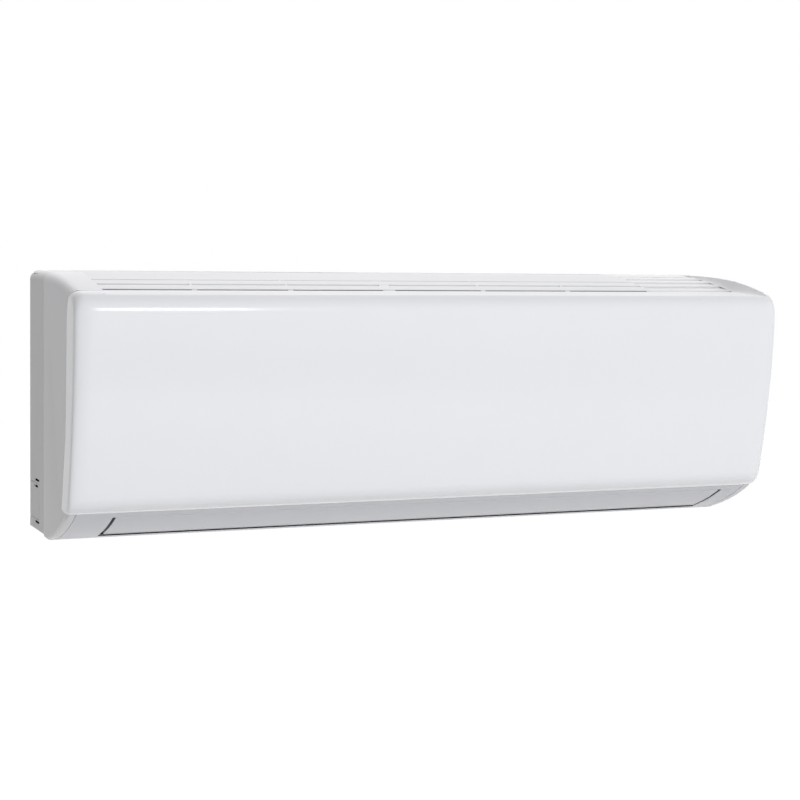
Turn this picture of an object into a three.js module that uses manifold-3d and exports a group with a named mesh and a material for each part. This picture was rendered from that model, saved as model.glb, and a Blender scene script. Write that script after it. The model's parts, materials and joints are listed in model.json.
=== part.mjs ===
// A wall fan coil unit, built as an assembly of separate pieces.
//
// Millimetres, +Z up. +X is to the right for someone who faces the unit, and the front looks along -Y.
// The origin is the centre of the wall plate's back face, which lies on the wall.
// Most pieces are drawn as a section, seen from the left end: depth in front of the wall, then height
// above the unit's lowest edge. A section is then given its place along X.
import * as THREE from "three";
import { mergeVertices } from "three/addons/utils/BufferGeometryUtils.js";
import Module from "manifold-3d";

const wasm = await Module();
wasm.setup();

// Overall size
const bodyLength = 845;
const bodyHeight = 289;
const bodyDepth = 209;

// Sizes that many pieces share
const wall = 2.5;
const fit = 0.3;
const overrun = 6;
const weldDistance = 0.001;
const quarterTurn = Math.PI / 2;
const fullTurn = 2 * Math.PI;
const degree = Math.PI / 180;
const roundSides = 20;
const smallSides = 10;
const hexSides = 6;

// Section of the closed unit, as shares of the depth and of the height
const bellyShares = [[0.383, 0], [0.628, 0.055], [0.794, 0.137]];
const panelFootShares = [[0.866, 0.152], [0.885, 0.2]];
const panelFaceShares = [[1, 0.564], [1, 0.858]];
const panelCrownShares = [[1, 0.93], [0.926, 0.942]];
const shoulderShares = [[0.804, 0.962], [0.574, 0.9965], [0.3, 0.999]];
const outlineSteps = 5;

// Rounding of the outer edges
const panelEdgeRadius = 11;
const topEdgeRadius = 10;
const bottomEdgeRadius = 4;
const edgeSteps = 5;
const panelEdgeStart = 145;

const halfLength = bodyLength / 2;

// The wall plate's lower and upper edges; the origin lies halfway between them
const plateShares = [0.1938, 0.8443];
const plateHeights = plateShares.map((share) => share * bodyHeight);
const plateCentreHeight = (plateHeights[0] + plateHeights[1]) / 2;

// Makes a manifold solid from a closed three.js geometry.
function solid(geometry) {
  const loose = geometry.index ? geometry.toNonIndexed() : geometry.clone();
  loose.deleteAttribute("normal");
  loose.deleteAttribute("uv");
  const merged = mergeVertices(loose, weldDistance);
  return new wasm.Manifold(
    new wasm.Mesh({
      numProp: 3,
      vertProperties: merged.attributes.position.array,
      triVerts: new Uint32Array(merged.index.array),
    }),
  );
}

function union(...solids) {
  return solids.reduce((whole, next) => whole.add(next));
}

// Turns a drawing of depth and height into the frame of the unit, with its end face at X = 0.
const sectionMatrix = new THREE.Matrix4().makeBasis(
  new THREE.Vector3(0, -1, 0),
  new THREE.Vector3(0, 0, 1),
  new THREE.Vector3(-1, 0, 0),
);

// A section drawn as depth and height points, stretched along X.
function bar(outline, from, to) {
  const shape = new THREE.Shape(outline.map(([d, z]) => new THREE.Vector2(d, z)));
  const geometry = new THREE.ExtrudeGeometry(shape, { depth: to - from, bevelEnabled: false });
  return solid(geometry.applyMatrix4(sectionMatrix).translate(to, 0, 0));
}

// An outline drawn from above as X and depth points, stretched upwards.
function slab(outline, low, high) {
  const shape = new THREE.Shape(outline.map(([x, d]) => new THREE.Vector2(x, -d)));
  const geometry = new THREE.ExtrudeGeometry(shape, { depth: high - low, bevelEnabled: false });
  return solid(geometry.translate(0, 0, low));
}

// A box between two places along X, two depths and two heights.
function block([left, right], [back, front], [low, high]) {
  return bar([[back, low], [front, low], [front, high], [back, high]], left, right);
}

// A round rod between two points given as X, depth and height.
function rod(radius, start, end, sides = roundSides) {
  const a = new THREE.Vector3(start[0], -start[1], start[2]);
  const b = new THREE.Vector3(end[0], -end[1], end[2]);
  const along = b.clone().sub(a);
  const geometry = new THREE.CylinderGeometry(radius, radius, along.length(), sides);
  const turn = new THREE.Quaternion().setFromUnitVectors(
    new THREE.Vector3(0, 1, 0),
    along.clone().normalize(),
  );
  geometry.applyQuaternion(turn);
  const middle = a.add(b).multiplyScalar(1 / 2);
  return solid(geometry.translate(middle.x, middle.y, middle.z));
}

// A rod along X round an axis that is given by its depth and height.
function wheel(radius, axis, from, to, sides = roundSides) {
  return rod(radius, [from, ...axis], [to, ...axis], sides);
}

function ring(outer, inner, axis, from, to, sides = roundSides) {
  const bore = wheel(inner, axis, from - overrun, to + overrun, sides);
  return wheel(outer, axis, from, to, sides).subtract(bore);
}

// A round rod that follows a smooth curve through points given as X, depth and height.
function pipe(points, radius, steps, sides = smallSides) {
  const curve = new THREE.CatmullRomCurve3(points.map(([x, d, z]) => new THREE.Vector3(x, -d, z)));
  const circle = new THREE.Shape(
    Array.from({ length: sides }, (_, k) => {
      const angle = (k / sides) * fullTurn;
      return new THREE.Vector2(radius * Math.cos(angle), radius * Math.sin(angle));
    }),
  );
  return solid(new THREE.ExtrudeGeometry(circle, { steps, extrudePath: curve }));
}

// Even steps from one value to another, both included.
function evenSteps(from, to, steps) {
  return Array.from({ length: steps + 1 }, (_, k) => from + ((to - from) * k) / steps);
}

// The point on a circle at an angle from its centre's front.
function onCircle(centre, radius, angle) {
  return [centre[0] + radius * Math.cos(angle), centre[1] + radius * Math.sin(angle)];
}

// Points on an arc round a centre, from one angle to another.
function arc(centre, radius, from, to, steps) {
  return evenSteps(from, to, steps).map((angle) => onCircle(centre, radius, angle));
}

// A closed band between two arcs round one centre.
function arcBand(centre, inner, thickness, from, to, steps) {
  const outside = arc(centre, inner + thickness, from, to, steps);
  return [...outside, ...arc(centre, inner, to, from, steps)];
}

// The direction to the left of the path at each point, longer at corners so that walls stay even.
function leftwards(points, closed) {
  const last = points.length - 1;
  return points.map((point, k) => {
    const before = points[k > 0 ? k - 1 : last];
    const after = points[k < last ? k + 1 : 0];
    const arriving = new THREE.Vector2(point[0] - before[0], point[1] - before[1]).normalize();
    const leaving = new THREE.Vector2(after[0] - point[0], after[1] - point[1]).normalize();
    if (!closed && k === 0) {
      arriving.copy(leaving);
    }
    if (!closed && k === last) {
      leaving.copy(arriving);
    }
    const turned = new THREE.Vector2(-arriving.y, arriving.x);
    const mean = new THREE.Vector2(-leaving.y, leaving.x).add(turned).normalize();
    return mean.divideScalar(mean.dot(turned));
  });
}

// A path moved to its left by one distance, which for an outline is inwards.
function offset(points, distance, closed) {
  const left = leftwards(points, closed);
  return points.map(([d, z], k) => [d + left[k].x * distance, z + left[k].y * distance]);
}

// The outline of a sheet of even thickness, whose right face follows a path.
function sheet(path, thickness) {
  return [...path, ...offset(path, thickness, false).reverse()];
}

const pointAt = ([depthShare, heightShare]) => [depthShare * bodyDepth, heightShare * bodyHeight];

// The closed unit's outline, round from its lower back corner.
function envelopeOutline() {
  const shape = new THREE.Shape();
  shape.moveTo(0, 0);
  shape.lineTo(...pointAt(bellyShares[0]));
  const bends = [bellyShares.slice(1), panelFootShares, panelFaceShares, panelCrownShares];
  for (const [control, end] of bends) {
    shape.quadraticCurveTo(...pointAt(control), ...pointAt(end));
  }
  shape.lineTo(...pointAt(shoulderShares[0]));
  shape.quadraticCurveTo(...pointAt(shoulderShares[1]), ...pointAt(shoulderShares[2]));
  shape.lineTo(0, bodyHeight);
  return shape.getPoints(outlineSteps).map((p) => [p.x, p.y]);
}

const envelopePoints = envelopeOutline();

// How far the front of the closed unit reaches at a height.
function frontAt(height) {
  const next = envelopePoints.findIndex(([d, z]) => d > bodyDepth / 2 && z >= height);
  const [low, high] = [envelopePoints[next - 1], envelopePoints[next]];
  return low[0] + ((high[0] - low[0]) * (height - low[1])) / (high[1] - low[1]);
}

// How far an edge of this radius has rounded away at a distance from the end face.
function roundedAway(fromEnd, radius) {
  const inside = Math.max(0, radius - fromEnd);
  return radius - Math.sqrt(radius * radius - inside * inside);
}

// A solid skinned over rings of points that follow each other along X.
function loft(rings, outline) {
  const count = outline.length;
  const faces = [];
  for (let r = 0; r < rings.length - 1; r += 1) {
    const here = r * count;
    const there = here + count;
    for (let k = 0; k < count; k += 1) {
      const next = (k + 1) % count;
      faces.push(here + k, there + k, here + next, here + next, there + k, there + next);
    }
  }
  const flat = outline.map(([d, z]) => new THREE.Vector2(d, z));
  const lastRing = (rings.length - 1) * count;
  for (const [a, b, c] of THREE.ShapeUtils.triangulateShape(flat, [])) {
    faces.push(a, b, c, lastRing + a, lastRing + c, lastRing + b);
  }
  const geometry = new THREE.BufferGeometry().setFromPoints(rings.flat());
  geometry.setIndex(faces);
  return solid(geometry);
}

// The closed unit as a solid, its walls moved inwards by one distance.
function envelope(inward) {
  const outline = offset(envelopePoints, inward, true);
  const half = halfLength - inward;
  const radii = [panelEdgeRadius, topEdgeRadius, bottomEdgeRadius].map((r) => r - inward);
  const middle = bodyHeight / 2;
  const fromEnds = Array.from(
    { length: edgeSteps + 1 },
    (_, k) => radii[0] * (1 - Math.sin((k / edgeSteps) * quarterTurn)),
  );
  const places = [...fromEnds.map((e) => [e - half, e]).reverse(), ...fromEnds.map((e) => [half - e, e])];
  places.sort((a, b) => a[0] - b[0]);
  const rings = places.map(([x, fromEnd]) => {
    const [back, down, up] = radii.map((r) => roundedAway(fromEnd, r));
    return outline.map(([d, z]) => {
      const forwardShare = Math.max(0, (d - panelEdgeStart) / (bodyDepth - panelEdgeStart));
      const risenShare = (z - middle) / middle;
      const shift = risenShare > 0 ? -down * risenShare : -up * risenShare;
      return new THREE.Vector3(x, back * forwardShare - d, z + shift);
    });
  });
  return loft(rings, outline);
}

// Materials
function finish(color, roughness, metalness = 0) {
  return { color, roughness, metalness };
}
const glossWhite = finish(0xebecf0, 0.12);
const satinWhite = finish(0xe6e6e9, 0.4);
const chassisWhite = finish(0xd9dadc, 0.5);
const outletSilver = finish(0xc2c3c8, 0.35);
const darkPlastic = finish(0x2b2c2e, 0.6);
const palePlastic = finish(0xf1f1ee, 0.5);
const greyPlastic = finish(0x85888c, 0.5);
const zinc = finish(0xb9bcc0, 0.4, 0.9);
const finMetal = finish(0xc9cdd0, 0.35, 0.9);
const copper = finish(0xb87545, 0.3, 1);
const brassMetal = finish(0xc0a05a, 0.3, 1);
const blackRubber = finish(0x1d1d1f, 0.8);
const boardGreen = finish(0x2d6b45, 0.5);
const filterBlue = finish(0x3f6f9a, 0.7);

const unit = new THREE.Group();
unit.position.z = -plateCentreHeight;

// Adds one finished piece to the unit under its own name.
function piece(name, shape, { color, roughness, metalness }) {
  const mesh = shape.getMesh();
  const geometry = new THREE.BufferGeometry();
  geometry.setAttribute("position", new THREE.BufferAttribute(mesh.vertProperties, 3));
  geometry.setIndex(new THREE.BufferAttribute(mesh.triVerts, 1));
  geometry.computeVertexNormals();
  const material = new THREE.MeshStandardMaterial({ color, roughness, metalness });
  const made = new THREE.Mesh(geometry, material);
  made.name = name;
  unit.add(made);
}

const endToEnd = [-halfLength - overrun, halfLength + overrun];
const backOpening = block(
  [wall - halfLength, halfLength - wall],
  [-overrun, 2 * wall],
  [wall, bodyHeight - wall],
);
const outerShell = envelope(0).subtract(envelope(wall)).subtract(backOpening);

// Seams between the big mouldings
const seamShare = 0.316;
const seamDepth = seamShare * bodyDepth;
const seamGap = 0.5;
const chassisLift = 4.5;
const jointTopShares = [[0.9, 0.945], [0.875, 0.937], [0.83, 0.905], [0.812, 0.86], [0.804, 0.73]];
const jointLowShares = [[0.799, 0.55], [0.785, 0.405], [0.746, 0.294], [0.718, 0.182], [0.7, 0.149]];
const panelFootSeam = pointAt(bellyShares[2]);

// Everything in front of the joint between the panel and the casing, moved forward by a distance.
function panelRegion(forward) {
  const joint = [...jointTopShares, ...jointLowShares].map(pointAt);
  const front = bodyDepth + overrun;
  const above = bodyHeight + overrun;
  const outline = [[joint[0][0], above], ...joint, panelFootSeam, [front, panelFootSeam[1]], [front, above]];
  return bar(outline.map(([d, z]) => [d + forward, z]), ...endToEnd);
}

// Top grille: its floor falls towards the front in a recess between two shoulders
const grilleBack = 8;
const grilleFrontShare = 0.622;
const grilleFront = grilleFrontShare * bodyDepth;
const grilleDropShare = 0.054;
const grilleDrop = grilleDropShare * bodyHeight;
const grilleLeftMargins = [48.5, 33.5];
const grilleRightMargins = [23.5, 11.5];
const grilleLeft = grilleLeftMargins.map((margin) => margin - halfLength);
const grilleRight = grilleRightMargins.map((margin) => halfLength - margin);
const slatCount = 6;
const slatPitchShare = 0.9692;
const slatPitch = (slatPitchShare * grilleFront) / slatCount;
const slatWidthShare = 0.714;
const slatWidth = slatWidthShare * slatPitch;
const slatThickness = 2;
const slatRise = 3.4;
const landingGap = 6;
const landingBack = grilleFront + landingGap;
const landingShares = [0.952, 0.9322];
const [landingFront, landingFrontHeight] = pointAt(landingShares);
const landingLip = 8;
const landingFit = 1;
const notchDepth = landingFront + landingFit;
const middleRib = [-51, -39];
const ribWidth = 3;
const ribDepth = 9;
const recessShares = [0.8824, 0.9066, 0.955];
const [recessFloor, grilleWallLow, backBeamLow] = recessShares.map((share) => share * bodyHeight);
const rightGuideMargin = 127.5;
const blindLap = 4;
const blindStart = halfLength - rightGuideMargin - blindLap;
const ribFieldCount = 3;
const ribPitch = (blindStart - middleRib[1]) / ribFieldCount;

function grilleHeight(depth) {
  const share = depth / grilleFront;
  return bodyHeight - grilleDrop * share * share;
}

// The recess seen from above, widened by a margin.
function recessPlan(margin) {
  return [
    [grilleLeft[0] - margin, grilleBack - margin],
    [grilleLeft[1] - margin, grilleFront],
    [grilleLeft[1] - margin, notchDepth],
    [grilleRight[1] + margin, notchDepth],
    [grilleRight[1] + margin, grilleFront],
    [grilleRight[0] + margin, grilleBack - margin],
  ];
}

// Hinge of the front panel, just under the back edge of its top skin
const jointTop = pointAt(jointTopShares[0]);
const hingeForward = 1.4;
const hingeDrop = 7.1;
const hingeAxis = [jointTop[0] + hingeForward, jointTop[1] - hingeDrop];
const hingePinRadius = 1.6;
const hingeSweep = 7.7;
const cornerSweep = 12;
const hingePinMargin = 10.5;
const hingePinInner = halfLength - hingePinMargin;
const hingeRoot = 1.8;
const cradleHalf = 4.1;
const cradleHeight = 16;
const cradleFoot = 4;
const cradleWidth = 3;
const cradleLip = 0.5;

// Places on the left and on the right at the same distances from the middle.
function bothSides(inner, outer, make) {
  return union(make(inner, outer), make(-outer, -inner));
}

function frontPanel() {
  const notch = block(
    [grilleLeft[1], grilleRight[1]],
    [0, notchDepth],
    [recessFloor, bodyHeight + overrun],
  );
  const pins = bothSides(hingePinInner, halfLength - hingeRoot, (from, to) =>
    wheel(hingePinRadius, hingeAxis, from, to, smallSides),
  );
  return outerShell.intersect(panelRegion(0)).subtract(notch).add(pins);
}

// Air filters: each lies on an arc and slides along it in the guides of the casing
const filterRadiusShares = [0.612, 0.443];
const filterRadius = Math.min(filterRadiusShares[0] * bodyDepth, filterRadiusShares[1] * bodyHeight);
const filterFrontShares = [0.9, 0.4325];
const filterFront = pointAt(filterFrontShares);
const filterCentre = [filterFront[0] - filterRadius, filterFront[1]];
const filterThickness = 2.2;
const filterMeshThickness = 0.6;
const filterFrom = -20 * degree;
const filterTo = 80 * degree;
const filterSteps = 10;
const filterGap = 0.8;
const filterBorder = 8;
const filterRibWidth = 3;
const filterRibCount = 3;
const filterBarTurn = 4 * degree;
const guideWidth = 4;
const guideLedge = 2.2;
const guideReach = 5;
const guideShares = [0.402, 0.258];
const [guideBack, guideFoot] = pointAt(guideShares);
const leftGuideMargin = 32.5;
const leftGuide = [leftGuideMargin - halfLength, leftGuideMargin + guideWidth - halfLength];
const rightGuide = [halfLength - rightGuideMargin, halfLength - rightGuideMargin + guideWidth];
const stopTurn = 2 * degree;
const stopGap = 0.3 * degree;

// Parts of the casing behind the panel
const frontClearance = 6;
const beamHeightShares = [0.2076, 0.263];
const beamHeights = beamHeightShares.map((share) => share * bodyHeight);
const beamClearance = 7.6;
const beamBack = frontAt(beamHeights[0]) - beamClearance;
const beamThickness = 4;
const flangeThickness = 3;
const flangeClearance = 3.4;
const lapLowShares = [0.565, 0.104];
const lapHighShares = [0.67, 0.9066];
const lapLow = pointAt(lapLowShares);
const lapHigh = pointAt(lapHighShares);
const controlShares = [0.228, 0.893];
const controlHeights = controlShares.map((share) => share * bodyHeight);
const controlThickness = 2.5;

// Display and button behind the panel
const displayHeightShare = 0.3633;
const displayHeight = displayHeightShare * bodyHeight;
const displayMargins = [100.5, 54.5];
const displayPlace = displayMargins.map((margin) => halfLength - margin);
const displayHalf = 9;
const displayHeights = [displayHeight - displayHalf, displayHeight + displayHalf];
const displayGap = 1;
const displayFront = frontAt(displayHeights[0]) - frontClearance - controlThickness - displayGap;
const lensInset = 8;
const lensPlace = [displayPlace[0] + lensInset, displayPlace[1] - lensInset];
const lensHalf = 4;
const lensHeights = [displayHeight - lensHalf, displayHeight + lensHalf];
const lensProud = 0.9;
const lensFront = frontAt(lensHeights[0]) - frontClearance + lensProud;
const displayBoardMargins = [104.5, 16.5];
const displayBoardPlace = displayBoardMargins.map((margin) => halfLength - margin);
const displayBoardBelow = 23;
const displayBoardAbove = 19;
const displayBoardHeights = [displayHeight - displayBoardBelow, displayHeight + displayBoardAbove];
const displayDepth = 12.6;
const displayBoardBack = displayFront - displayDepth;
const displayBoardThickness = 1.6;
const buttonMargin = 32.5;
const buttonBelow = 5;
const buttonPlace = [halfLength - buttonMargin, displayHeight - buttonBelow];
const buttonRadius = 4;
const buttonGap = 0.4;
const buttonCollar = 1.6;
const buttonCollarThickness = 2;
const buttonStand = 5;
const buttonBack = displayBoardBack + buttonStand;
const buttonProud = 1.9;
const buttonFront = frontAt(buttonPlace[1]) - frontClearance + buttonProud;
const switchHalf = 3;
const switchHeight = 0.5;

const flangeOuter = halfLength - wall - fit;
const flangeTopShare = 0.9412;
const flangeTop = flangeTopShare * bodyHeight;
const innerBody = envelope(flangeClearance);

// A band of the section just behind the front panel.
function frontBand(back, front, heights, from, to) {
  const outer = bar(offset(envelopePoints, front, true), from, to);
  const inner = bar(offset(envelopePoints, back, true), from - overrun, to + overrun);
  return outer.subtract(inner).intersect(block(endToEnd, [panelEdgeStart, bodyDepth], heights));
}

// An upright plate that carries filter guides, from the grille down to the front beam.
function guide([from, to]) {
  const depths = evenSteps(guideBack, grilleFront, slatCount);
  const surface = depths.map((d) => [d, grilleHeight(d) - slatThickness]);
  const landingUnder = landingFrontHeight - wall / 2;
  const roof = [
    ...surface,
    [landingFront, landingUnder],
    [bodyDepth, landingUnder],
    [bodyDepth, guideFoot],
    [guideBack, guideFoot],
  ];
  const bore = filterRadius - filterThickness / 2 - filterGap - guideLedge;
  const plate = bar(offset(envelopePoints, frontClearance, true), from, to)
    .intersect(bar(roof, from, to))
    .subtract(wheel(bore, filterCentre, from - overrun, to + overrun, 2 * roundSides));
  const ledges = [bore, filterRadius + filterThickness / 2 + filterGap].map((radius) =>
    bar(
      arcBand(filterCentre, radius, guideLedge, filterFrom, filterTo, filterSteps),
      from - guideReach,
      to + guideReach,
    ),
  );
  const stopDepth = filterThickness + 2 * (guideLedge + filterGap);
  const stopAngles = [filterFrom - stopTurn, filterFrom - stopGap];
  const stop = bar(
    arcBand(filterCentre, bore, stopDepth, ...stopAngles, 1),
    from - guideReach,
    to + guideReach,
  );
  return union(plate, ...ledges, stop);
}

// One blade of the top grille, its front edge on the grille's surface.
function slatOutline(depth) {
  const top = grilleHeight(depth);
  const back = depth - slatWidth;
  return [
    [back, top + slatRise],
    [back, top + slatRise - slatThickness],
    [depth, top - slatThickness],
    [depth, top],
  ];
}

function grille() {
  const inside = slab(recessPlan(wall), recessFloor, bodyHeight + overrun).intersect(envelope(0));
  const rim = slab(recessPlan(wall), grilleWallLow, bodyHeight + overrun)
    .subtract(slab(recessPlan(0), recessFloor, bodyHeight + overrun))
    .intersect(envelope(0));
  const backBeam = block(
    [grilleLeft[0], grilleRight[0]],
    [grilleBack - wall, grilleBack + wall],
    [backBeamLow, bodyHeight],
  );
  const depths = Array.from({ length: slatCount }, (_, k) => grilleFront - k * slatPitch);
  const slats = depths.map((depth) => bar(slatOutline(depth), grilleLeft[1], blindStart));
  const surface = evenSteps(grilleBack, grilleFront, slatCount).map((d) => [d, grilleHeight(d) - fit]);
  const ribOutline = [...surface, ...surface.map(([d, z]) => [d, z - ribDepth]).reverse()];
  const ribPlaces = [
    middleRib,
    ...[1, 2].map((k) => [middleRib[1] + k * ribPitch, middleRib[1] + k * ribPitch + ribWidth]),
    ...[1, 2].map((k) => [middleRib[0] - k * ribPitch - ribWidth, middleRib[0] - k * ribPitch]),
    [blindStart, blindStart + ribWidth],
  ];
  const ribs = ribPlaces.map(([from, to]) => bar(ribOutline, from, to));
  const steps = depths.flatMap((depth) => {
    const top = grilleHeight(depth);
    return [[depth, top - slatThickness], [depth, top], [depth - slatWidth, top + slatRise / 2]];
  });
  const blindUnder = surface.map(([d, z]) => [d, z - slatThickness - wall]);
  const blind = bar([...steps, ...blindUnder], blindStart, grilleRight[1]);
  const landingTop = grilleHeight(landingBack);
  const landing = bar(
    [
      [landingBack, landingTop],
      [landingBack, landingTop - landingLip],
      [landingBack + wall, landingTop - landingLip],
      [landingBack + wall, landingTop - wall],
      [landingFront, landingFrontHeight - wall],
      [landingFront, landingFrontHeight],
    ],
    grilleLeft[1] - wall / 2,
    grilleRight[1] + wall / 2,
  );
  const blindBridge = bar(
    [
      [grilleFront - wall, grilleHeight(grilleFront) - slatThickness],
      [grilleFront - wall, grilleHeight(grilleFront) - slatThickness - wall],
      [landingBack + wall, landingTop - landingLip],
      [landingBack + wall, landingTop - slatThickness],
    ],
    blindStart,
    grilleRight[1],
  );
  const bridges = ribPlaces.map(([from, to]) =>
    block([from, to], [grilleFront - wall, landingBack + wall], [landingTop - landingLip, landingTop - fit]),
  );
  const floor = union(...slats, ...ribs, blind, blindBridge, ...bridges).intersect(inside);
  const notch = block(
    [grilleLeft[1] + fit, grilleRight[1] - fit],
    [0, notchDepth],
    [recessFloor, bodyHeight + overrun],
  );
  return union(rim, backBeam, floor, landing).subtract(panelRegion(-seamGap).subtract(notch));
}

function frontCasing() {
  const behind = block(endToEnd, [-overrun, seamDepth + seamGap], [-overrun, bodyHeight + overrun]);
  const outletZone = block(
    [-outletHalf - seamGap, outletHalf + seamGap],
    [outletBack - seamGap, beamBack],
    [-overrun, beamHeights[0]],
  );
  const skin = outerShell
    .subtract(panelRegion(-seamGap))
    .subtract(behind)
    .subtract(outletZone)
    .subtract(slab(recessPlan(0), recessFloor, bodyHeight + overrun));
  const flanges = bothSides(flangeOuter - flangeThickness, flangeOuter, (from, to) =>
    block([from, to], [lapLow[0], bodyDepth], [beamHeights[0] - frontClearance, flangeTop])
      .intersect(innerBody)
      .subtract(wheel(cornerSweep, hingeAxis, from - overrun, to + overrun)),
  );
  const laps = bothSides(flangeOuter - flangeThickness, halfLength - wall / 2, (from, to) =>
    block([from, to], [lapLow[0], lapHigh[0]], [lapLow[1], lapHigh[1]]),
  );
  const beamReach = flangeOuter - flangeThickness / 2;
  const beam = block([-beamReach, beamReach], [beamBack, beamBack + beamThickness], beamHeights).intersect(
    innerBody,
  );
  const control = frontBand(
    frontClearance + controlThickness,
    frontClearance,
    controlHeights,
    rightGuide[1] - wall,
    beamReach,
  ).intersect(innerBody);
  const lens = block(
    [lensPlace[0] - fit, lensPlace[1] + fit],
    [displayBoardBack, bodyDepth],
    [lensHeights[0] - fit, lensHeights[1] + fit],
  );
  const buttonHole = rod(
    buttonRadius + buttonGap,
    [buttonPlace[0], displayBoardBack, buttonPlace[1]],
    [buttonPlace[0], bodyDepth, buttonPlace[1]],
  );
  const sweep = union(
    wheel(hingeSweep, hingeAxis, endToEnd[0], grilleLeft[1]),
    wheel(hingeSweep, hingeAxis, grilleRight[1], endToEnd[1]),
  );
  const cradleDepths = [hingeAxis[0] - cradleHalf, hingeAxis[0] + cradleHalf];
  const cradleLow = hingeAxis[1] - cradleHeight;
  const uprights = bothSides(hingePinInner, hingePinInner + cradleWidth, (from, to) =>
    block([from, to], cradleDepths, [cradleLow, hingeAxis[1] - cradleLip]).subtract(
      wheel(hingePinRadius + fit, hingeAxis, from - overrun, to + overrun, smallSides),
    ),
  );
  const feet = bothSides(hingePinInner, flangeOuter, (from, to) =>
    block([from, to], cradleDepths, [cradleLow, cradleLow + cradleFoot]),
  );
  const cradles = union(uprights, feet).intersect(innerBody);
  const guides = [leftGuide, middleRib, rightGuide].map(guide);
  return union(skin, grille(), flanges, laps, beam, ...guides, control.subtract(lens).subtract(buttonHole))
    .subtract(sweep)
    .add(cradles);
}

// Outlet frame: the slanted strip under the panel, with the opening for the louver
const outletMargin = 11.5;
const outletHalf = halfLength - outletMargin;
const outletShares = [0.383, 0.156];
const [outletBack, outletTop] = pointAt(outletShares);
const openingMargins = [53, 37];
const outletOpening = [openingMargins[0] - halfLength, halfLength - openingMargins[1]];
const outletEndWall = 2.5;
const outletEndShares = [0.459, 0.159];
const [outletEndBack, outletEndTop] = pointAt(outletEndShares);
const outletEndReachShare = 0.555;

// Louver: a curved flap that turns on pins near its lower edge
const louverAxisShares = [0.512, 0.0623];
const louverAxis = pointAt(louverAxisShares);
const louverEndGap = 3.5;
const louverPlace = [outletOpening[0] + louverEndGap, outletOpening[1] - louverEndGap];
const louverReachShare = 0.391;
const louverReach = louverReachShare * filterRadius;
const louverGap = 1.2;
const louverHeel = 5.7;
const louverBack = louverAxis[0] - louverHeel;
const openingHeel = 9.5;
const outletOpeningBack = louverAxis[0] - openingHeel;
const louverThickness = 4.3;
const louverEarRadius = 5;
const louverEarWidth = 4;
const louverEarHalf = 5;
const louverPinRadius = 2.3;
const louverShaftRadius = 2.5;
const louverMotorRadius = 13;
const louverMotorShift = [-5, 9];
const louverMotorAxis = [louverAxis[0] + louverMotorShift[0], louverAxis[1] + louverMotorShift[1]];
const louverMotorLength = 18;
const shaftSocket = 6;

function outletFrame() {
  const zone = block([-outletHalf, outletHalf], [outletBack, beamBack], [-overrun, outletTop]);
  const opening = wheel(louverReach + louverGap, louverAxis, ...outletOpening, 2 * roundSides).intersect(
    block(outletOpening, [outletOpeningBack, bodyDepth], [-bodyHeight, bodyHeight]),
  );
  const endFront = panBack + outletEndReachShare * (panFootBack[0] - panBack);
  const ends = [
    [outletOpening[0] - outletEndWall, outletOpening[0]],
    [outletOpening[1], outletOpening[1] + outletEndWall],
  ].map(([from, to]) =>
    bar(envelopePoints, from, to).intersect(
      block([from, to], [outletEndBack, endFront], [0, outletEndTop]),
    ),
  );
  const pinHole = wheel(
    louverPinRadius + fit,
    louverAxis,
    outletOpening[0] - overrun,
    outletOpening[0] + overrun,
    smallSides,
  );
  const shaftHole = wheel(
    louverShaftRadius + fit,
    louverAxis,
    outletOpening[1] - overrun,
    outletOpening[1] + overrun,
    smallSides,
  );
  const skin = outerShell.intersect(zone).subtract(panelRegion(-seamGap)).subtract(opening);
  return union(skin, ...ends).subtract(pinHole).subtract(shaftHole);
}

function louver() {
  const inner = bar(
    offset(envelopePoints, louverThickness, true),
    louverPlace[0] - overrun,
    louverPlace[1] + overrun,
  );
  const blade = bar(envelopePoints, ...louverPlace)
    .subtract(inner)
    .intersect(wheel(louverReach, louverAxis, ...louverPlace, 2 * roundSides))
    .intersect(block(louverPlace, [louverBack, bodyDepth], [0, outletTop]));
  const earPlaces = [
    [louverPlace[0], louverPlace[0] + louverEarWidth],
    [louverPlace[1] - 2 * louverEarWidth, louverPlace[1]],
  ];
  const ears = earPlaces.flatMap(([from, to]) => [
    wheel(louverEarRadius, louverAxis, from, to),
    bar(envelopePoints, from, to).intersect(
      block([from, to], [louverAxis[0] - louverEarHalf, louverAxis[0] + louverEarHalf], [0, louverAxis[1]]),
    ),
  ]);
  const pin = wheel(
    louverPinRadius,
    louverAxis,
    outletOpening[0] - outletEndWall,
    louverPlace[0] + louverEarWidth,
    smallSides,
  );
  const socket = wheel(
    louverShaftRadius + fit,
    louverAxis,
    louverPlace[1] - shaftSocket,
    louverPlace[1] + overrun,
    smallSides,
  );
  return union(blade, ...ears, pin).subtract(socket);
}

const louverMotorFace = outletOpening[1] + outletEndWall + fit;

function louverShaft() {
  const start = louverPlace[1] - shaftSocket + fit;
  return wheel(louverShaftRadius, louverAxis, start, louverMotorFace + shaftSocket, smallSides);
}

function louverMotor() {
  const body = wheel(
    louverMotorRadius,
    louverMotorAxis,
    louverMotorFace,
    louverMotorFace + louverMotorLength,
  );
  const bore = wheel(
    louverShaftRadius + fit,
    louverAxis,
    louverMotorFace - overrun,
    louverMotorFace + shaftSocket + fit,
    smallSides,
  );
  return body.subtract(bore);
}

// A place given by shares of the filters' radius, from the centre of their arc.
function withinFilters([across, up]) {
  return [filterCentre[0] + across * filterRadius, filterCentre[1] + up * filterRadius];
}

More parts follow.
